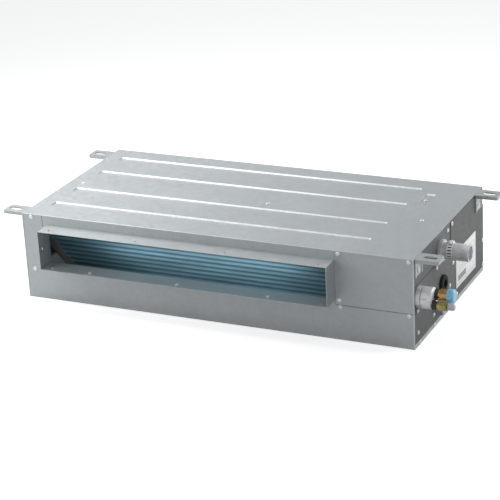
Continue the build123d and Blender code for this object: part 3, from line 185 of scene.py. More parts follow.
# Finishes
def galvanised(name, colour, roughness=0.42, metallic=0.35, spangle=0.035):
    """Zinc-coated sheet: faint crystals, rolling lines and cloudy tone."""
    material, tree, shader, place = new_material(name, roughness, metallic)
    cloud = noise(tree, place, 7.0)
    crystal = cells(tree, place, 130.0)
    rolled = noise(tree, stretched(tree, place, (6.0, 900.0, 900.0)), 1.0, 2.0)
    tone = ramp(tree, cloud, [(0.25, shade(colour, 0.955)), (0.75, shade(colour, 1.04))])
    light = ramp(tree, crystal, [(0.0, (1 - spangle,) * 3), (1.0, (1 + spangle,) * 3)])
    tone = mixed(tree, 1.0, tone, light, "MULTIPLY")
    lines = ramp(tree, rolled, [(0.3, (0.975,) * 3), (0.7, (1.0,) * 3)])
    tone = mixed(tree, 1.0, tone, lines, "MULTIPLY")
    tree.links.new(tone, shader.inputs["Base Color"])
    glossy = spread(tree, crystal, roughness - 0.06, roughness + 0.08)
    tree.links.new(glossy, shader.inputs["Roughness"])
    bump(tree, shader, rolled, 0.08, 0.0002)
    return material


def moulded_plastic(name, colour, roughness=0.5, grain=1800.0, strength=0.12):
    """Plastic with a fine grain and a slight change of tone."""
    material, tree, shader, place = new_material(name, roughness)
    cloud = noise(tree, place, 30.0)
    fine = noise(tree, place, grain, 2.0)
    tone = ramp(tree, cloud, [(0.3, shade(colour, 0.92)), (0.7, shade(colour, 1.06))])
    tree.links.new(tone, shader.inputs["Base Color"])
    tree.links.new(spread(tree, fine, roughness - 0.08, roughness + 0.1), shader.inputs["Roughness"])
    bump(tree, shader, fine, strength, 0.0002)
    return material


def drawn_metal(name, colour, tarnish, roughness=0.28, metallic=1.0):
    """Drawn or turned metal with blotches of tarnish."""
    material, tree, shader, place = new_material(name, roughness, metallic)
    blotch = noise(tree, place, 60.0, 4.0, 0.6)
    lines = noise(tree, stretched(tree, place, (2500.0, 60.0, 60.0)), 1.0, 2.0)
    tone = ramp(tree, blotch, [(0.35, tarnish), (0.6, colour)])
    tree.links.new(tone, shader.inputs["Base Color"])
    tree.links.new(spread(tree, blotch, roughness + 0.15, roughness - 0.05), shader.inputs["Roughness"])
    bump(tree, shader, lines, 0.1, 0.0001)
    return material


def rubber(name, colour, roughness=0.75):
    """Rubber with dusty patches."""
    material, tree, shader, place = new_material(name, roughness)
    dust = noise(tree, place, 90.0, 4.0)
    fine = noise(tree, place, 3000.0, 2.0)
    tone = ramp(tree, dust, [(0.35, colour), (0.8, shade(colour, 1.6))])
    tree.links.new(tone, shader.inputs["Base Color"])
    bump(tree, shader, fine, 0.2, 0.0001)
    return material


def foam(name, colour, pore=700.0):
    """Foam with open pores, darkened in the pores as painted shade."""
    material, tree, shader, place = new_material(name, 0.9)
    texture = tree.nodes.new("ShaderNodeTexVoronoi")
    texture.inputs["Scale"].default_value = pore
    tree.links.new(place, texture.inputs["Vector"])
    pores = texture.outputs["Distance"]
    cloud = noise(tree, place, 25.0)
    tone = ramp(tree, cloud, [(0.3, shade(colour, 0.85)), (0.7, shade(colour, 1.12))])
    # Painted shade in the pores.
    pore_shade = ramp(tree, pores, [(0.0, (0.6,) * 3), (0.35, (1.0,) * 3)])
    tone = mixed(tree, 1.0, tone, pore_shade, "MULTIPLY")
    tree.links.new(tone, shader.inputs["Base Color"])
    bump(tree, shader, pores, 0.4, 0.0006)
    return material


def coated_fins():
    """Blue-green coated aluminium, with painted light and shade in stripes, one lighter stripe on each fold of the
    fins.
    """
    material, tree, shader, place = new_material("coated_fins", 0.38, 0.35)
    low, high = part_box("coil_fins")
    slant = math.atan2(high.z - low.z - COIL_THICKNESS * 0.66, high.y - low.y - COIL_THICKNESS * 0.75)
    turned = tree.nodes.new("ShaderNodeMapping")
    turned.inputs["Rotation"].default_value = (slant, 0.0, 0.0)
    tree.links.new(place, turned.inputs["Vector"])
    fold_shading = tree.nodes.new("ShaderNodeTexWave")
    fold_shading.bands_direction = "Y"
    fold_shading.inputs["Scale"].default_value = math.pi / (10 * TUBE_PITCH)
    tree.links.new(turned.outputs["Vector"], fold_shading.inputs["Vector"])
    cloud = noise(tree, stretched(tree, place, (6.0, 30.0, 30.0)), 1.0)
    # Teal coating colour with painted light and shade: dark to light across each tube row.
    tone = ramp(tree, fold_shading.outputs["Fac"], [(0.2, (0.11, 0.34, 0.43)), (0.85, (0.48, 0.70, 0.82))])
    patch = ramp(tree, cloud, [(0.3, (0.75,) * 3), (0.7, (1.15,) * 3)])
    tone = mixed(tree, 1.0, tone, patch, "MULTIPLY")
    tree.links.new(tone, shader.inputs["Base Color"])
    return material


def sleeve_foam():
    """Silvery foam sleeve with a wrinkled skin."""
    material, tree, shader, place = new_material("sleeve_foam", 0.42, 0.1)
    wrinkle = noise(tree, stretched(tree, place, (60.0, 160.0, 160.0)), 1.0, 4.0)
    tone = ramp(tree, wrinkle, [(0.3, (0.62, 0.65, 0.67)), (0.55, (1.0, 1.0, 1.0))])
    tree.links.new(tone, shader.inputs["Base Color"])
    bump(tree, shader, wrinkle, 0.55, 0.0012)
    return material


def clear_blue_cap():
    """Milky blue plastic that lets some light through."""
    material, tree, shader, place = new_material("blue_cap", 0.28, coat=0.3)
    shader.inputs["Subsurface Weight"].default_value = 0.35
    shader.inputs["Subsurface Radius"].default_value = (0.003, 0.005, 0.008)
    cloud = noise(tree, place, 70.0)
    tone = ramp(tree, cloud, [(0.3, (0.26, 0.60, 0.88)), (0.7, (0.38, 0.72, 0.95))])
    tree.links.new(tone, shader.inputs["Base Color"])
    return material


finishes = {
    "sheet": galvanised("galvanised_sheet", (0.50, 0.53, 0.54)),
    # Painted shade: the right side panel and pipe plate are the same zinc sheet as the front, painted far darker for
    # the shade on that side.
    "shaded_side_sheet": galvanised("shaded_side_sheet", (0.115, 0.125, 0.122), 0.5, 0.28, 0.05),
    # The electrical cover is a darker sheet, and its colour is lowered further as painted shade for the shaded side.
    "shaded_cover_sheet": galvanised("shaded_cover_sheet", (0.095, 0.104, 0.101), 0.5, 0.3, 0.05),
    "inner_sheet": galvanised("inner_sheet", (0.46, 0.47, 0.45)),
    "bracket": galvanised("bracket_zinc", (0.47, 0.50, 0.50), 0.4, 0.4),
    "copper": drawn_metal("copper_tube", (0.62, 0.28, 0.16), (0.30, 0.14, 0.09)),
    "gas_brass": drawn_metal("orange_brass", (0.72, 0.44, 0.19), (0.42, 0.25, 0.11)),
    "liquid_brass": drawn_metal("olive_brass", (0.50, 0.42, 0.16), (0.26, 0.22, 0.09)),
    "bright_steel": drawn_metal("bright_steel", (0.93, 0.94, 0.95), (0.78, 0.79, 0.80), 0.3, 0.55),
    "motor": moulded_plastic("motor_paint", (0.19, 0.20, 0.21), 0.42),
    "pan": moulded_plastic("pan_plastic", (0.56, 0.58, 0.58), 0.6, 500.0, 0.25),
    "fan": moulded_plastic("fan_plastic", (0.045, 0.047, 0.05), 0.45),
    "white": moulded_plastic("white_plastic", (0.72, 0.73, 0.72), 0.45),
    "cap_white": moulded_plastic("pale_cap", (0.66, 0.64, 0.70), 0.4),
    "filter_frame": moulded_plastic("filter_frame", (0.10, 0.105, 0.11), 0.5),
    "filter_thread": moulded_plastic("filter_thread", (0.055, 0.058, 0.06), 0.6),
    "black_rubber": rubber("black_rubber", (0.010, 0.010, 0.011), 0.92),
    "stub_rubber": rubber("stub_rubber", (0.34, 0.31, 0.38)),
    "hose": rubber("hose_rubber", (0.56, 0.56, 0.585), 0.5),
    "foam": foam("side_foam", (0.10, 0.105, 0.105)),
    "black_foam": foam("black_foam", (0.02, 0.02, 0.02), 900.0),
    "board": moulded_plastic("circuit_board", (0.03, 0.16, 0.07), 0.4),
    "label": moulded_plastic("label_plate", (0.86, 0.87, 0.86), 0.45, 1500.0, 0.05),
    "print": moulded_plastic("printed_line", (0.30, 0.31, 0.31), 0.5, 1500.0, 0.05),
    "fins": coated_fins(),
    "sleeve": sleeve_foam(),
    # Painted highlight and painted shade for the walls of the pressed grooves in the top panel.
    "groove_highlight": galvanised("painted_groove_highlight", (0.93, 0.95, 0.96), 0.35, 0.1),
    "groove_shade": galvanised("painted_groove_shade", (0.38, 0.41, 0.42)),
    # Painted highlight on the rounded folds of the casing and the turned edges of the brackets.
    "fold_highlight": galvanised("painted_fold_highlight", (0.80, 0.82, 0.83), 0.35, 0.2),
    # Painted shade for the dark gaps along the seams between the front sheets.
    "seam_shade": galvanised("painted_seam_shade", (0.13, 0.14, 0.14), 0.6, 0.1),
    # Painted light: the bore of the drain hose is lighter than its outside, to lift the shade inside it.
    "lightened_hose_bore": rubber("lightened_hose_bore", (0.62, 0.62, 0.64), 0.6),
    # Painted shade for the shadowed pipe ends behind the nuts and the gap in the pipe sleeve.
    "pipe_shade": rubber("painted_pipe_shade", (0.03, 0.026, 0.022), 0.6),
    "clamp_steel": drawn_metal("clamp_steel", (0.97, 0.97, 0.97), (0.90, 0.91, 0.92), 0.35, 0.2),
    "blue_cap": clear_blue_cap(),
}

node_finishes = {
    "sheet": ["top_panel", "bottom_panel", "left_side_panel", "front_right_panel", "rear_right_panel",
              "outlet_collar", "inlet_frame"],
    "shaded_side_sheet": ["right_side_panel", "pipe_plate"],
    "shaded_cover_sheet": ["electrical_cover"],
    "inner_sheet": ["partition_wall", "fan_deck", "filter_rails", "coil_end_plate_left", "coil_end_plate_right",
                    "motor_bracket", "bearing_bracket", "pump_bracket", "electrical_box"],
    "bracket": ["hanger_front_left", "hanger_front_right", "hanger_rear_left", "hanger_rear_right"],
    "copper": ["coil_tubes", "gas_header", "gas_pipe", "liquid_pipe", "capillary_tubes"],
    "gas_brass": ["gas_nut"],
    "liquid_brass": ["liquid_nut", "liquid_distributor"],
    "bright_steel": ["fan_shaft"],
    "motor": ["fan_motor", "transformer"],
    "pan": ["drain_pan"],
    "fan": ["fan_housing_left", "fan_housing_right", "fan_wheel_left", "fan_wheel_right", "terminal_block"],
    "white": ["drain_pump", "pump_impeller", "pump_riser", "float_switch", "float_ring"],
    "cap_white": ["liquid_cap"],
    "black_rubber": ["cable_grommet"],
    "stub_rubber": ["drain_plug"],
    "hose": ["drain_hose"],
    "foam": ["side_foam"],
    "board": ["circuit_board"],
    "sleeve": ["pipe_sleeve"],
    "blue_cap": ["gas_cap"],
}


def paint(piece, finish):
    """Give a piece one finish all over."""
    piece.data.materials.clear()
    piece.data.materials.append(finishes[finish])


def is_inside_hose(place):
    """Whether a point lies on the bore of the drain hose."""
    low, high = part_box("drain_hose")
    middle = (low + high) / 2
    return math.hypot(place.y - middle.y, place.z - middle.z) < 15 * MM


def paint_faces(name, finish, chosen):
    """Give some faces of a CAD node a second finish, chosen by their middle and normal."""
    mesh = nodes[name].data
    mesh.materials.append(finishes[finish])
    index = len(mesh.materials) - 1
    for face in mesh.polygons:
        if chosen(face.center, face.normal):
            face.material_index = index


for finish, names in node_finishes.items():
    for name in names:
        paint(nodes[name], finish)

CASING_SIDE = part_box("right_side_panel")[1].x
# Painted highlight on the groove walls that face the front, painted shade on those that face the back.
paint_faces("top_panel", "groove_highlight", lambda place, normal: 0.2 < normal.z < 0.95 and normal.y < -0.3)
paint_faces("top_panel", "groove_shade", lambda place, normal: 0.2 < normal.z < 0.95 and normal.y > 0.3)
paint_faces("drain_pan", "stub_rubber", lambda place, normal: place.x > CASING_SIDE - 2 * MM)
# Painted light on the bore of the hose.
paint_faces("drain_hose", "lightened_hose_bore", lambda place, normal: abs(normal.x) < 0.5 and is_inside_hose(place))


# Modelling helpers
def start_piece():
    """Leave edit mode and select nothing, so that the next operator works on the new piece alone."""
    if bpy.context.object and bpy.context.object.mode != "OBJECT":
        bpy.ops.object.mode_set(mode="OBJECT")
    bpy.ops.object.select_all(action="DESELECT")


def only(piece):
    """Select one piece and make it the active one."""
    start_piece()
    piece.select_set(True)
    bpy.context.view_layer.objects.active = piece


def settle(piece, name):
    """Name a new primitive and put its place into its mesh."""
    piece.name = name
    only(piece)
    bpy.ops.object.transform_apply(location=True, rotation=True, scale=True)
    return piece


def block(name, low, high):
    """Box between two corners."""
    start_piece()
    low, high = Vector(low), Vector(high)
    bpy.ops.mesh.primitive_cube_add(size=1, location=(low + high) / 2)
    piece = bpy.context.object
    piece.scale = high - low
    return settle(piece, name)


def rod(name, start, end, radius, sides=32):
    """Round bar from one point to another."""
    start_piece()
    start, end = Vector(start), Vector(end)
    turn = (end - start).to_track_quat("Z", "Y").to_euler()
    bpy.ops.mesh.primitive_cylinder_add(
        vertices=sides, radius=radius, depth=(end - start).length, location=(start + end) / 2, rotation=turn
    )
    return settle(bpy.context.object, name)


def use(piece, kind, **settings):
    """Add a modifier, set it and apply it."""
    only(piece)
    modifier = piece.modifiers.new(kind.lower(), kind)
    for key, value in settings.items():
        setattr(modifier, key, value)
    bpy.ops.object.modifier_apply(modifier=modifier.name)


def soften(piece, width, segments=2):
    """Round the sharp edges."""
    use(piece, "BEVEL", width=width, segments=segments, limit_method="ANGLE", angle_limit=math.radians(35))


def join(name, pieces):
    """Make one piece of several."""
    start_piece()
    for piece in pieces:
        piece.select_set(True)
    bpy.context.view_layer.objects.active = pieces[0]
    bpy.ops.object.join()
    pieces[0].name = name
    return pieces[0]


def copy_of(piece, name, matrix):
    """Copy with its own mesh, moved by a matrix."""
    twin = piece.copy()
    twin.data = piece.data.copy()
    twin.data.transform(matrix)
    twin.name = name
    bpy.context.scene.collection.objects.link(twin)
    return twin


def hand_over(piece, finish, replaced=(), body=BODY, angle=30):
    """Smooth, paint and fasten a finished piece to its body."""
    only(piece)
    bpy.ops.object.shade_smooth_by_angle(angle=math.radians(angle))
    paint(piece, finish)
    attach(piece, body)
    if replaced:
        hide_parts(*replaced)
    return piece


def islands(node):
    """Lowest and highest corner of each separate solid in a CAD node."""
    mesh = nodes[node].data
    keys = [tuple(round(part, 6) for part in vertex.co) for vertex in mesh.vertices]
    parent = {key: key for key in keys}

    def root(key):
        while parent[key] != key:
            parent[key] = parent[parent[key]]
            key = parent[key]
        return key

    for edge in mesh.edges:
        first, second = (root(keys[index]) for index in edge.vertices)
        parent[first] = second
    groups = {}
    for key in parent:
        groups.setdefault(root(key), []).append(key)
    corners = []
    for points in groups.values():
        low = Vector([min(point[axis] for point in points) for axis in range(3)])
        high = Vector([max(point[axis] for point in points) for axis in range(3)])
        corners.append((low, high))
    return corners


# Screws
def screw_head(radius, height):
    """Pan head on a washer flange, with a cross recess, standing on the origin along +Z."""
    washer = rod("washer", (0, 0, 0), (0, 0, height * 0.45), radius, 28)
    soften(washer, height * 0.15)
    head = rod("head", (0, 0, height * 0.4), (0, 0, height), radius * 0.72, 28)
    soften(head, height * 0.3, 3)
    arm = radius * 0.5
    for reach_x, reach_y in ((arm, RECESS_WIDTH / 2), (RECESS_WIDTH / 2, arm)):
        slot = block("slot", (-reach_x, -reach_y, height - RECESS_DEPTH), (reach_x, reach_y, height * 2))
        use(head, "BOOLEAN", operation="DIFFERENCE", object=slot)
        bpy.data.objects.remove(slot)
    return join("screw_head", [washer, head])


def place_screws():
    """A detailed head over each plain one, turned to face out of its sheet."""
    for node, label in (("casing_screws", "casing"), ("hanger_screws", "hanger"), ("collar_screws", "collar")):
        heads = []
        for index, (low, high) in enumerate(islands(node)):
            size = high - low
            axis = min(range(3), key=lambda i: size[i])
            centre = (low + high) / 2
            facing = Vector((0, 0, 0))
            outward = 1 if node == "collar_screws" or centre[axis] > 0 else -1
            facing[axis] = outward
            seat = centre - facing * size[axis] / 2
            if index == 0:
                pattern = screw_head(max(size) / 2, size[axis])
            turn = facing.to_track_quat("Z", "Y").to_matrix().to_4x4()
            spin = Matrix.Rotation(index * 1.3, 4, "Z")
            heads.append(copy_of(pattern, f"{label}_screw_{index + 1:02d}", Matrix.Translation(seat) @ turn @ spin))
        bpy.data.objects.remove(pattern)
        group = join(f"{label}_screw_heads", heads)
        hand_over(group, "bright_steel", (node,))


# Coil
def fin_stack():
    """Thin scalloped plates side by side along the coil."""
    low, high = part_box("coil_fins")
    width = high.x - low.x
    foot = Vector((low.x, 0.0, 0.0))
    plate_low = Vector((0.0, *fin_foot()))
    rise = fin_direction()
    back = Vector((0.0, rise.z, -rise.y))
    length = fin_length()
    start_piece()
    steps = 6 * round((length - 2 * COIL_MARGIN) / TUBE_PITCH)
    bpy.ops.mesh.primitive_grid_add(x_subdivisions=steps, y_subdivisions=1, size=1)
    plate = bpy.context.object
    for vertex in plate.data.vertices:
        along = (vertex.co.x + 0.5) * length
        depth = (vertex.co.y + 0.5) * COIL_THICKNESS
        turn = (along - COIL_MARGIN) / TUBE_PITCH * math.pi
        inside = COIL_MARGIN < along < length - COIL_MARGIN
        if vertex.co.y < -0.4 and inside:
            depth -= FIN_WAVE * abs(math.sin(turn))
        vertex.co = plate_low + foot + rise * along + back * depth
    use(plate, "SOLIDIFY", thickness=FIN_THICKNESS, offset=0.0)
    count = int(width / FIN_PITCH)
    pitch = (width - FIN_THICKNESS) / count
    plate.data.transform(Matrix.Translation((FIN_THICKNESS / 2, 0, 0)))
    use(plate, "ARRAY", count=count + 1, use_relative_offset=False, use_constant_offset=True,
        constant_offset_displace=(pitch, 0, 0))
    plate.name = "coil_fin_stack"
    hand_over(plate, "fins", ("coil_fins",))


def fin_foot():
    """Lowest front corner of the fins as (y, z)."""
    low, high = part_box("coil_fins")
    lowest = min((vertex.co for vertex in nodes["coil_fins"].data.vertices), key=lambda point: point.z)
    return (lowest.y, lowest.z)


def fin_direction():
    """Direction up the coil's front face."""
    points = [vertex.co for vertex in nodes["coil_fins"].data.vertices]
    rear_foot = max(points, key=lambda point: point.y)
    y, z = fin_foot()
    back = Vector((0.0, rear_foot.y - y, rear_foot.z - z)).normalized()
    return Vector((0.0, -back.z, back.y))


def fin_length():
    """Length of the fins along their slant."""
    rise = fin_direction()
    heights = [vertex.co.dot(rise) for vertex in nodes["coil_fins"].data.vertices]
    return max(heights) - min(heights)


# Return air filter
def filter_pieces():
    """Frame with bars, and a mesh of threads stretched across it."""
    low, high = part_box("air_filter")
    inner_low = (low.x + FILTER_BORDER, low.y, low.z + FILTER_BORDER)
    inner_high = (high.x - FILTER_BORDER, high.y, high.z - FILTER_BORDER)
    bars = [
        block("filter_side", (low.x, low.y, low.z), (inner_low[0], high.y, high.z)),
        block("filter_side", (inner_high[0], low.y, low.z), (high.x, high.y, high.z)),
        block("filter_side", (inner_low[0], low.y, low.z), (inner_high[0], high.y, inner_low[2])),
        block("filter_side", (inner_low[0], low.y, inner_high[2]), (inner_high[0], high.y, high.z)),
    ]
    thin = 1 * MM
    count = 5
    pitch = (inner_high[0] - inner_low[0]) / count
    for index in range(1, count):
        x = inner_low[0] + index * pitch
        bars.append(block("filter_bar", (x - 2 * MM, low.y + thin, inner_low[2]), (x + 2 * MM, high.y - thin, inner_high[2])))
    middle = (low.z + high.z) / 2
    bars.append(block("filter_bar", (inner_low[0], low.y + thin, middle - 2 * MM), (inner_high[0], high.y - thin, middle + 2 * MM)))
    for bar in bars:
        soften(bar, 0.6 * MM)
    border = join("filter_frame", bars)
    hand_over(border, "filter_frame", ("air_filter",), "filter")
    start_piece()
    across = round((inner_high[0] - inner_low[0]) / THREAD_PITCH)
    up = round((inner_high[2] - inner_low[2]) / THREAD_PITCH)
    bpy.ops.mesh.primitive_grid_add(x_subdivisions=across, y_subdivisions=up, size=1,
                                    location=((low.x + high.x) / 2, (low.y + high.y) / 2, middle),
                                    rotation=(math.radians(90), 0, 0))
    threads = bpy.context.object
    threads.scale = (inner_high[0] - inner_low[0], inner_high[2] - inner_low[2], 1)
    settle(threads, "filter_threads")
    use(threads, "WIREFRAME", thickness=THREAD_THICKNESS, use_even_offset=False)
    hand_over(threads, "filter_thread", (), "filter")


# Label
def wiring_label():
    """Pale plate on the electrical cover with generic drawn lines."""
    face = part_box("electrical_cover")[1].x
    thick = 0.25 * MM
    low = Vector((face, 35 * MM, 27 * MM))
    high = Vector((face + thick, 159 * MM, 107 * MM))
    plate = block("wiring_label", low, high)
    soften(plate, 0.1 * MM)
    hand_over(plate, "label")
    lines = []
    line = 0.5 * MM
    top = face + thick + 0.08 * MM

    def stroke(y0, z0, y1, z1):
        lines.append(block("line", (face + thick, low.y + y0 * MM, low.z + z0 * MM),
                           (top, low.y + y1 * MM, low.z + z1 * MM)))

    for z in (6, 76):
        stroke(5, z, 119, z + line / MM)
    for y in (5, 118.5):
        stroke(y, 6, y + line / MM, 76.5)
    for index in range(5):
        y = 12 + 21 * index
        stroke(y, 52, y + 14, 52.5)
        stroke(y, 66, y + 14, 66.5)
        stroke(y, 52, y + 0.5, 66.5)
        stroke(y + 13.5, 52, y + 14, 66.5)
        stroke(y + 6.7, 30, y + 7.3, 52)
    for index in range(4):
        stroke(18.7, 30 + 4 * index, 103 - 8 * index, 30.5 + 4 * index)
    stroke(12, 12, 60, 24)
    drawing = join("wiring_lines", lines)
    hand_over(drawing, "print")


# Drain hose clamp
def perforated_clamp():
    """Worm-drive band with a row of slots and its housing on top, over a black ring of painted shade for the slots.
    """
    low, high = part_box("hose_clamp")
    hose_low, hose_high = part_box("drain_hose")
    axis_y = (low.y + high.y) / 2
    axis_z = (hose_low.z + hose_high.z) / 2
    radius = (high.y - low.y) / 2
    start_piece()
    bpy.ops.mesh.primitive_cylinder_add(vertices=36, radius=radius - 0.3 * MM, depth=high.x - low.x,
                                        end_fill_type="NOTHING", rotation=(0, math.radians(90), 0),
                                        location=((low.x + high.x) / 2, axis_y, axis_z))
    band = settle(bpy.context.object, "hose_clamp_band")
    bpy.ops.object.mode_set(mode="EDIT")
    bpy.ops.mesh.select_mode(type="FACE")
    bpy.ops.mesh.select_all(action="DESELECT")
    bpy.ops.object.mode_set(mode="OBJECT")
    for index, face in enumerate(band.data.polygons):
        face.select = index % 2 == 0
    bpy.ops.object.mode_set(mode="EDIT")
    bpy.ops.mesh.inset(thickness=0.4 * MM, use_individual=True)
    bpy.ops.transform.resize(value=(0.7, 1, 1), center_override=((low.x + high.x) / 2, axis_y, axis_z))
    bpy.ops.mesh.delete(type="FACE")
    bpy.ops.object.mode_set(mode="OBJECT")
    use(band, "SOLIDIFY", thickness=0.5 * MM, offset=0.0)
    # Painted shade: a black ring just inside the band darkens what shows through its slots.
    start_piece()
    bpy.ops.mesh.primitive_cylinder_add(vertices=72, radius=radius - 0.8 * MM, depth=high.x - low.x - 1.5 * MM,
                                        end_fill_type="NOTHING", rotation=(0, math.radians(90), 0),
                                        location=((low.x + high.x) / 2, axis_y, axis_z))
    slot_shade = settle(bpy.context.object, "clamp_slot_shade")
    use(slot_shade, "SOLIDIFY", thickness=0.2 * MM, offset=0.0)
    hand_over(slot_shade, "black_rubber")
    housing = block("clamp_housing", (low.x + 1 * MM, axis_y - 5 * MM, high.z - 3.4 * MM), (high.x - 1 * MM, axis_y + 5 * MM, high.z))
    soften(housing, 0.8 * MM, 3)
    bolt = rod("clamp_bolt", ((low.x + high.x) / 2, axis_y - 9 * MM, high.z - 1.9 * MM), ((low.x + high.x) / 2, axis_y + 7 * MM, high.z - 1.9 * MM), 1.8 * MM, 16)
    soften(bolt, 0.4 * MM)
    clamp = join("hose_clamp_detail", [band, housing, bolt])
    hand_over(clamp, "clamp_steel", ("hose_clamp",))


# Folded edges of the casing in a painted highlight, and painted shade in the seams
def edge_bar(name, start, end, radius, finish):
    """Rounded bar sunk half into a folded edge or a seam of the sheet, coloured as a painted highlight or painted
    shade.
    """
    bar = rod(name, start, end, radius, 12)
    soften(bar, radius * 0.4)
    return hand_over(bar, finish)


def folds_and_seams():
    """Rounded folds along the front corners in a painted highlight, and dark seams of painted shade between the
    front sheets.
    """
    top_low, top_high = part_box("top_panel")
    front = top_low.y
    roof = top_high.z
    left, right = top_low.x, top_high.x
    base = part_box("bottom_panel")[0].z + FOLD_RADIUS
    edge_bar("top_front_fold", (left, front, roof), (right, front, roof), FOLD_RADIUS * 0.6, "fold_highlight")
    for name, x in (("left_front_fold", left), ("right_front_fold", right)):
        edge_bar(name, (x, front, base), (x, front, roof), FOLD_RADIUS, "fold_highlight")
    cover_low, cover_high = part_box("front_right_panel")
    seam_y = front + SEAM_RADIUS * 0.6
    # Painted shade: dark bars along the seams of the front sheets.
    edge_bar("service_cover_seam", (cover_low.x, seam_y, cover_low.z), (cover_high.x, seam_y, cover_low.z), SEAM_RADIUS, "seam_shade")
    collar_low, collar_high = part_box("outlet_collar")
    edge_bar("column_seam", (collar_low.x, seam_y, collar_high.z - 24 * MM), (collar_low.x, seam_y, collar_high.z), SEAM_RADIUS, "seam_shade")
    edge_bar("cover_upright_seam", (cover_low.x, seam_y, cover_low.z), (cover_low.x, seam_y, cover_high.z), SEAM_RADIUS * 0.7, "seam_shade")


# Hanging brackets
def hanger_ribs():
    """Turned edges down both sides of each bracket's leg, light with a painted highlight."""
    for place in ("front_left", "front_right", "rear_left", "rear_right"):
        low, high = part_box(f"hanger_{place}")
        side = 1 if high.x > 0 else -1
        face = CASING_SIDE * side + side * 2 * MM
        out = face + side * LIP_HEIGHT
        across = (min(face, out), max(face, out))
        rims = []
        for y in (low.y, high.y - LIP_WIDTH):
            rim = block("rim", (across[0], y, low.z), (across[1], y + LIP_WIDTH, high.z - 8 * MM))
            soften(rim, 0.5 * MM)
            rims.append(rim)
        hand_over(join(f"hanger_{place}_rims", rims), "fold_highlight")


# Pipe ends
def sleeve_seam():
    """Dark band of painted shade sunk in the seam of the foam sleeve."""
    low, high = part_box("pipe_sleeve")
    middle = (low + high) / 2
    start_piece()
    bpy.ops.mesh.primitive_torus_add(
        major_radius=(high.y - low.y) / 2 - 0.9 * MM, minor_radius=0.65 * MM, major_segments=48,
        minor_segments=10, location=(CASING_SIDE + SEAM_REACH, middle.y, middle.z), rotation=(0, math.radians(90), 0)
    )
    ring = settle(bpy.context.object, "sleeve_gap_shade")
    hand_over(ring, "pipe_shade")


def painted_pipe_shade():
    """Painted shade: dark cones from the end of the sleeve up to the shoulder of each nut, for the shadowed pipes
    and backs of the nuts.
    """
    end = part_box("pipe_sleeve")[1].x
    cones = []
    for nut, wide, narrow in (("gas_nut", 12.5, 9.4), ("liquid_nut", 10.0, 7.0)):
        low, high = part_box(nut)
        middle = (low + high) / 2
        start_piece()
        length = low.x - end
        bpy.ops.mesh.primitive_cone_add(vertices=32, radius1=wide * MM, radius2=narrow * MM, depth=length,
                                        location=(end + length / 2, middle.y, middle.z),
                                        rotation=(0, math.radians(90), 0))
        cone = settle(bpy.context.object, "pipe_shade")
        soften(cone, 0.8 * MM)
        cones.append(cone)
    hand_over(join("painted_pipe_shade", cones), "pipe_shade")


place_screws()
folds_and_seams()
hanger_ribs()
sleeve_seam()
painted_pipe_shade()
fin_stack()
filter_pieces()
wiring_label()
perforated_clamp()


# Stage
def either(tree, first, second):
    """1 where one of two ray switches is on."""
    node = tree.nodes.new("ShaderNodeMath")
    node.operation = "MAXIMUM"
    tree.links.new(first, node.inputs[0])
    tree.links.new(second, node.inputs[1])
    return node.outputs["Value"]


def studio_floor():
    """Pale floor that the camera sees as nearly white, with a soft shadow under the unit."""
    start_piece()
    bpy.ops.mesh.primitive_plane_add(size=FLOOR_SIZE, location=(0, 0, -FLOOR_GAP))
    floor = bpy.context.object
    floor.name = "studio_floor"
    material, tree, shader, place = new_material("studio_floor", 0.9)
    shader.inputs["Specular IOR Level"].default_value = 0.0
    path = tree.nodes.new("ShaderNodeLightPath")
    seen = either(tree, path.outputs["Is Camera Ray"], path.outputs["Is Glossy Ray"])
    tone = mixed(tree, seen, FLOOR_GREY, FLOOR_WHITE)
    tree.links.new(tone, shader.inputs["Base Color"])
    glow = mixed(tree, path.outputs["Is Camera Ray"], (0.0, 0.0, 0.0), FLOOR_LIFT)
    tree.links.new(glow, shader.inputs["Emission Color"])
    shader.inputs["Emission Strength"].default_value = 1.0
    floor.data.materials.append(material)


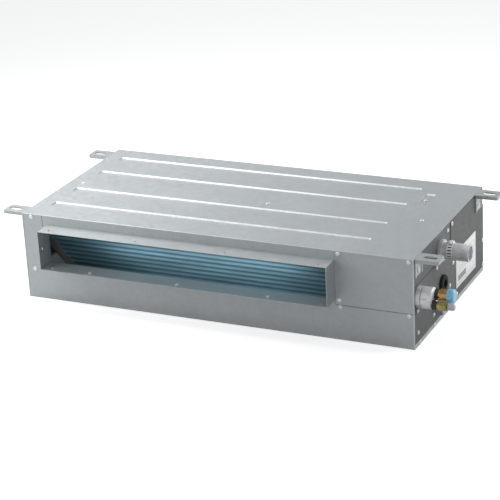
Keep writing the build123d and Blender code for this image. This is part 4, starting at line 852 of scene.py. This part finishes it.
def studio_world():
    """Plain grey surroundings that the camera sees as white."""
    world = bpy.data.worlds.new("studio")
    bpy.context.scene.world = world
    world.use_nodes = True
    tree = world.node_tree
    background = tree.nodes["Background"]
    path = tree.nodes.new("ShaderNodeLightPath")
    seen = either(tree, path.outputs["Is Camera Ray"], path.outputs["Is Transmission Ray"])
    glossy = mixed(tree, path.outputs["Is Glossy Ray"], WORLD_GREY, WORLD_SHEEN)
    tone = mixed(tree, seen, glossy, (1.0, 1.0, 1.0))
    tree.links.new(tone, background.inputs["Color"])


def lamp(name, place, target, size, power):
    """Square soft light aimed at a point."""
    data = bpy.data.lights.new(name, "AREA")
    data.size = size
    data.energy = power
    light = bpy.data.objects.new(name, data)
    bpy.context.scene.collection.objects.link(light)
    light.location = place
    light.rotation_euler = (Vector(target) - Vector(place)).to_track_quat("-Z", "Y").to_euler()
    return light


def photo_camera():
    """Camera fitted to the photograph's edges."""
    data = bpy.data.cameras.new("photo_camera")
    data.sensor_width = CAMERA_SENSOR
    data.lens = CAMERA_LENS
    data.clip_end = 100
    camera = bpy.data.objects.new("photo_camera", data)
    bpy.context.scene.collection.objects.link(camera)
    away = Vector((math.sin(CAMERA_AZIMUTH) * math.cos(CAMERA_ELEVATION),
                   -math.cos(CAMERA_AZIMUTH) * math.cos(CAMERA_ELEVATION),
                   math.sin(CAMERA_ELEVATION)))
    level = Vector((math.cos(CAMERA_AZIMUTH), math.sin(CAMERA_AZIMUTH), 0.0))
    upright = away.cross(level)
    across = math.cos(CAMERA_ROLL) * level + math.sin(CAMERA_ROLL) * upright
    up = math.cos(CAMERA_ROLL) * upright - math.sin(CAMERA_ROLL) * level
    turn = Matrix((across, up, away)).transposed().to_4x4()
    camera.matrix_world = Matrix.Translation(CAMERA_PLACE) @ turn
    bpy.context.scene.camera = camera


studio_floor()
studio_world()
lamp("key_light", (-0.7, 0.02, 1.05), (-0.15, 0, 0.15), 0.8, 10.5)
lamp("side_light", (1.6, 0.75, 0.5), (0.42, 0.1, 0.1), 0.9, 15)
lamp("front_light", (-1.15, -0.95, 0.6), (-0.3, -0.2, 0.1), 0.8, 6.0)
lamp("right_front_light", (0.9, -2.4, 0.9), (0.3, -0.2, 0.1), 1.0, 3.0)
duct_light = lamp("duct_light", (-0.03, -0.2, 0.078), (-0.03, -0.12, 0.10), 0.42, 0.13)
duct_light.data.shape = "RECTANGLE"
duct_light.data.size_y = 0.02
duct_light.visible_camera = False
photo_camera()
bpy.context.scene.view_settings.view_transform = "Standard"
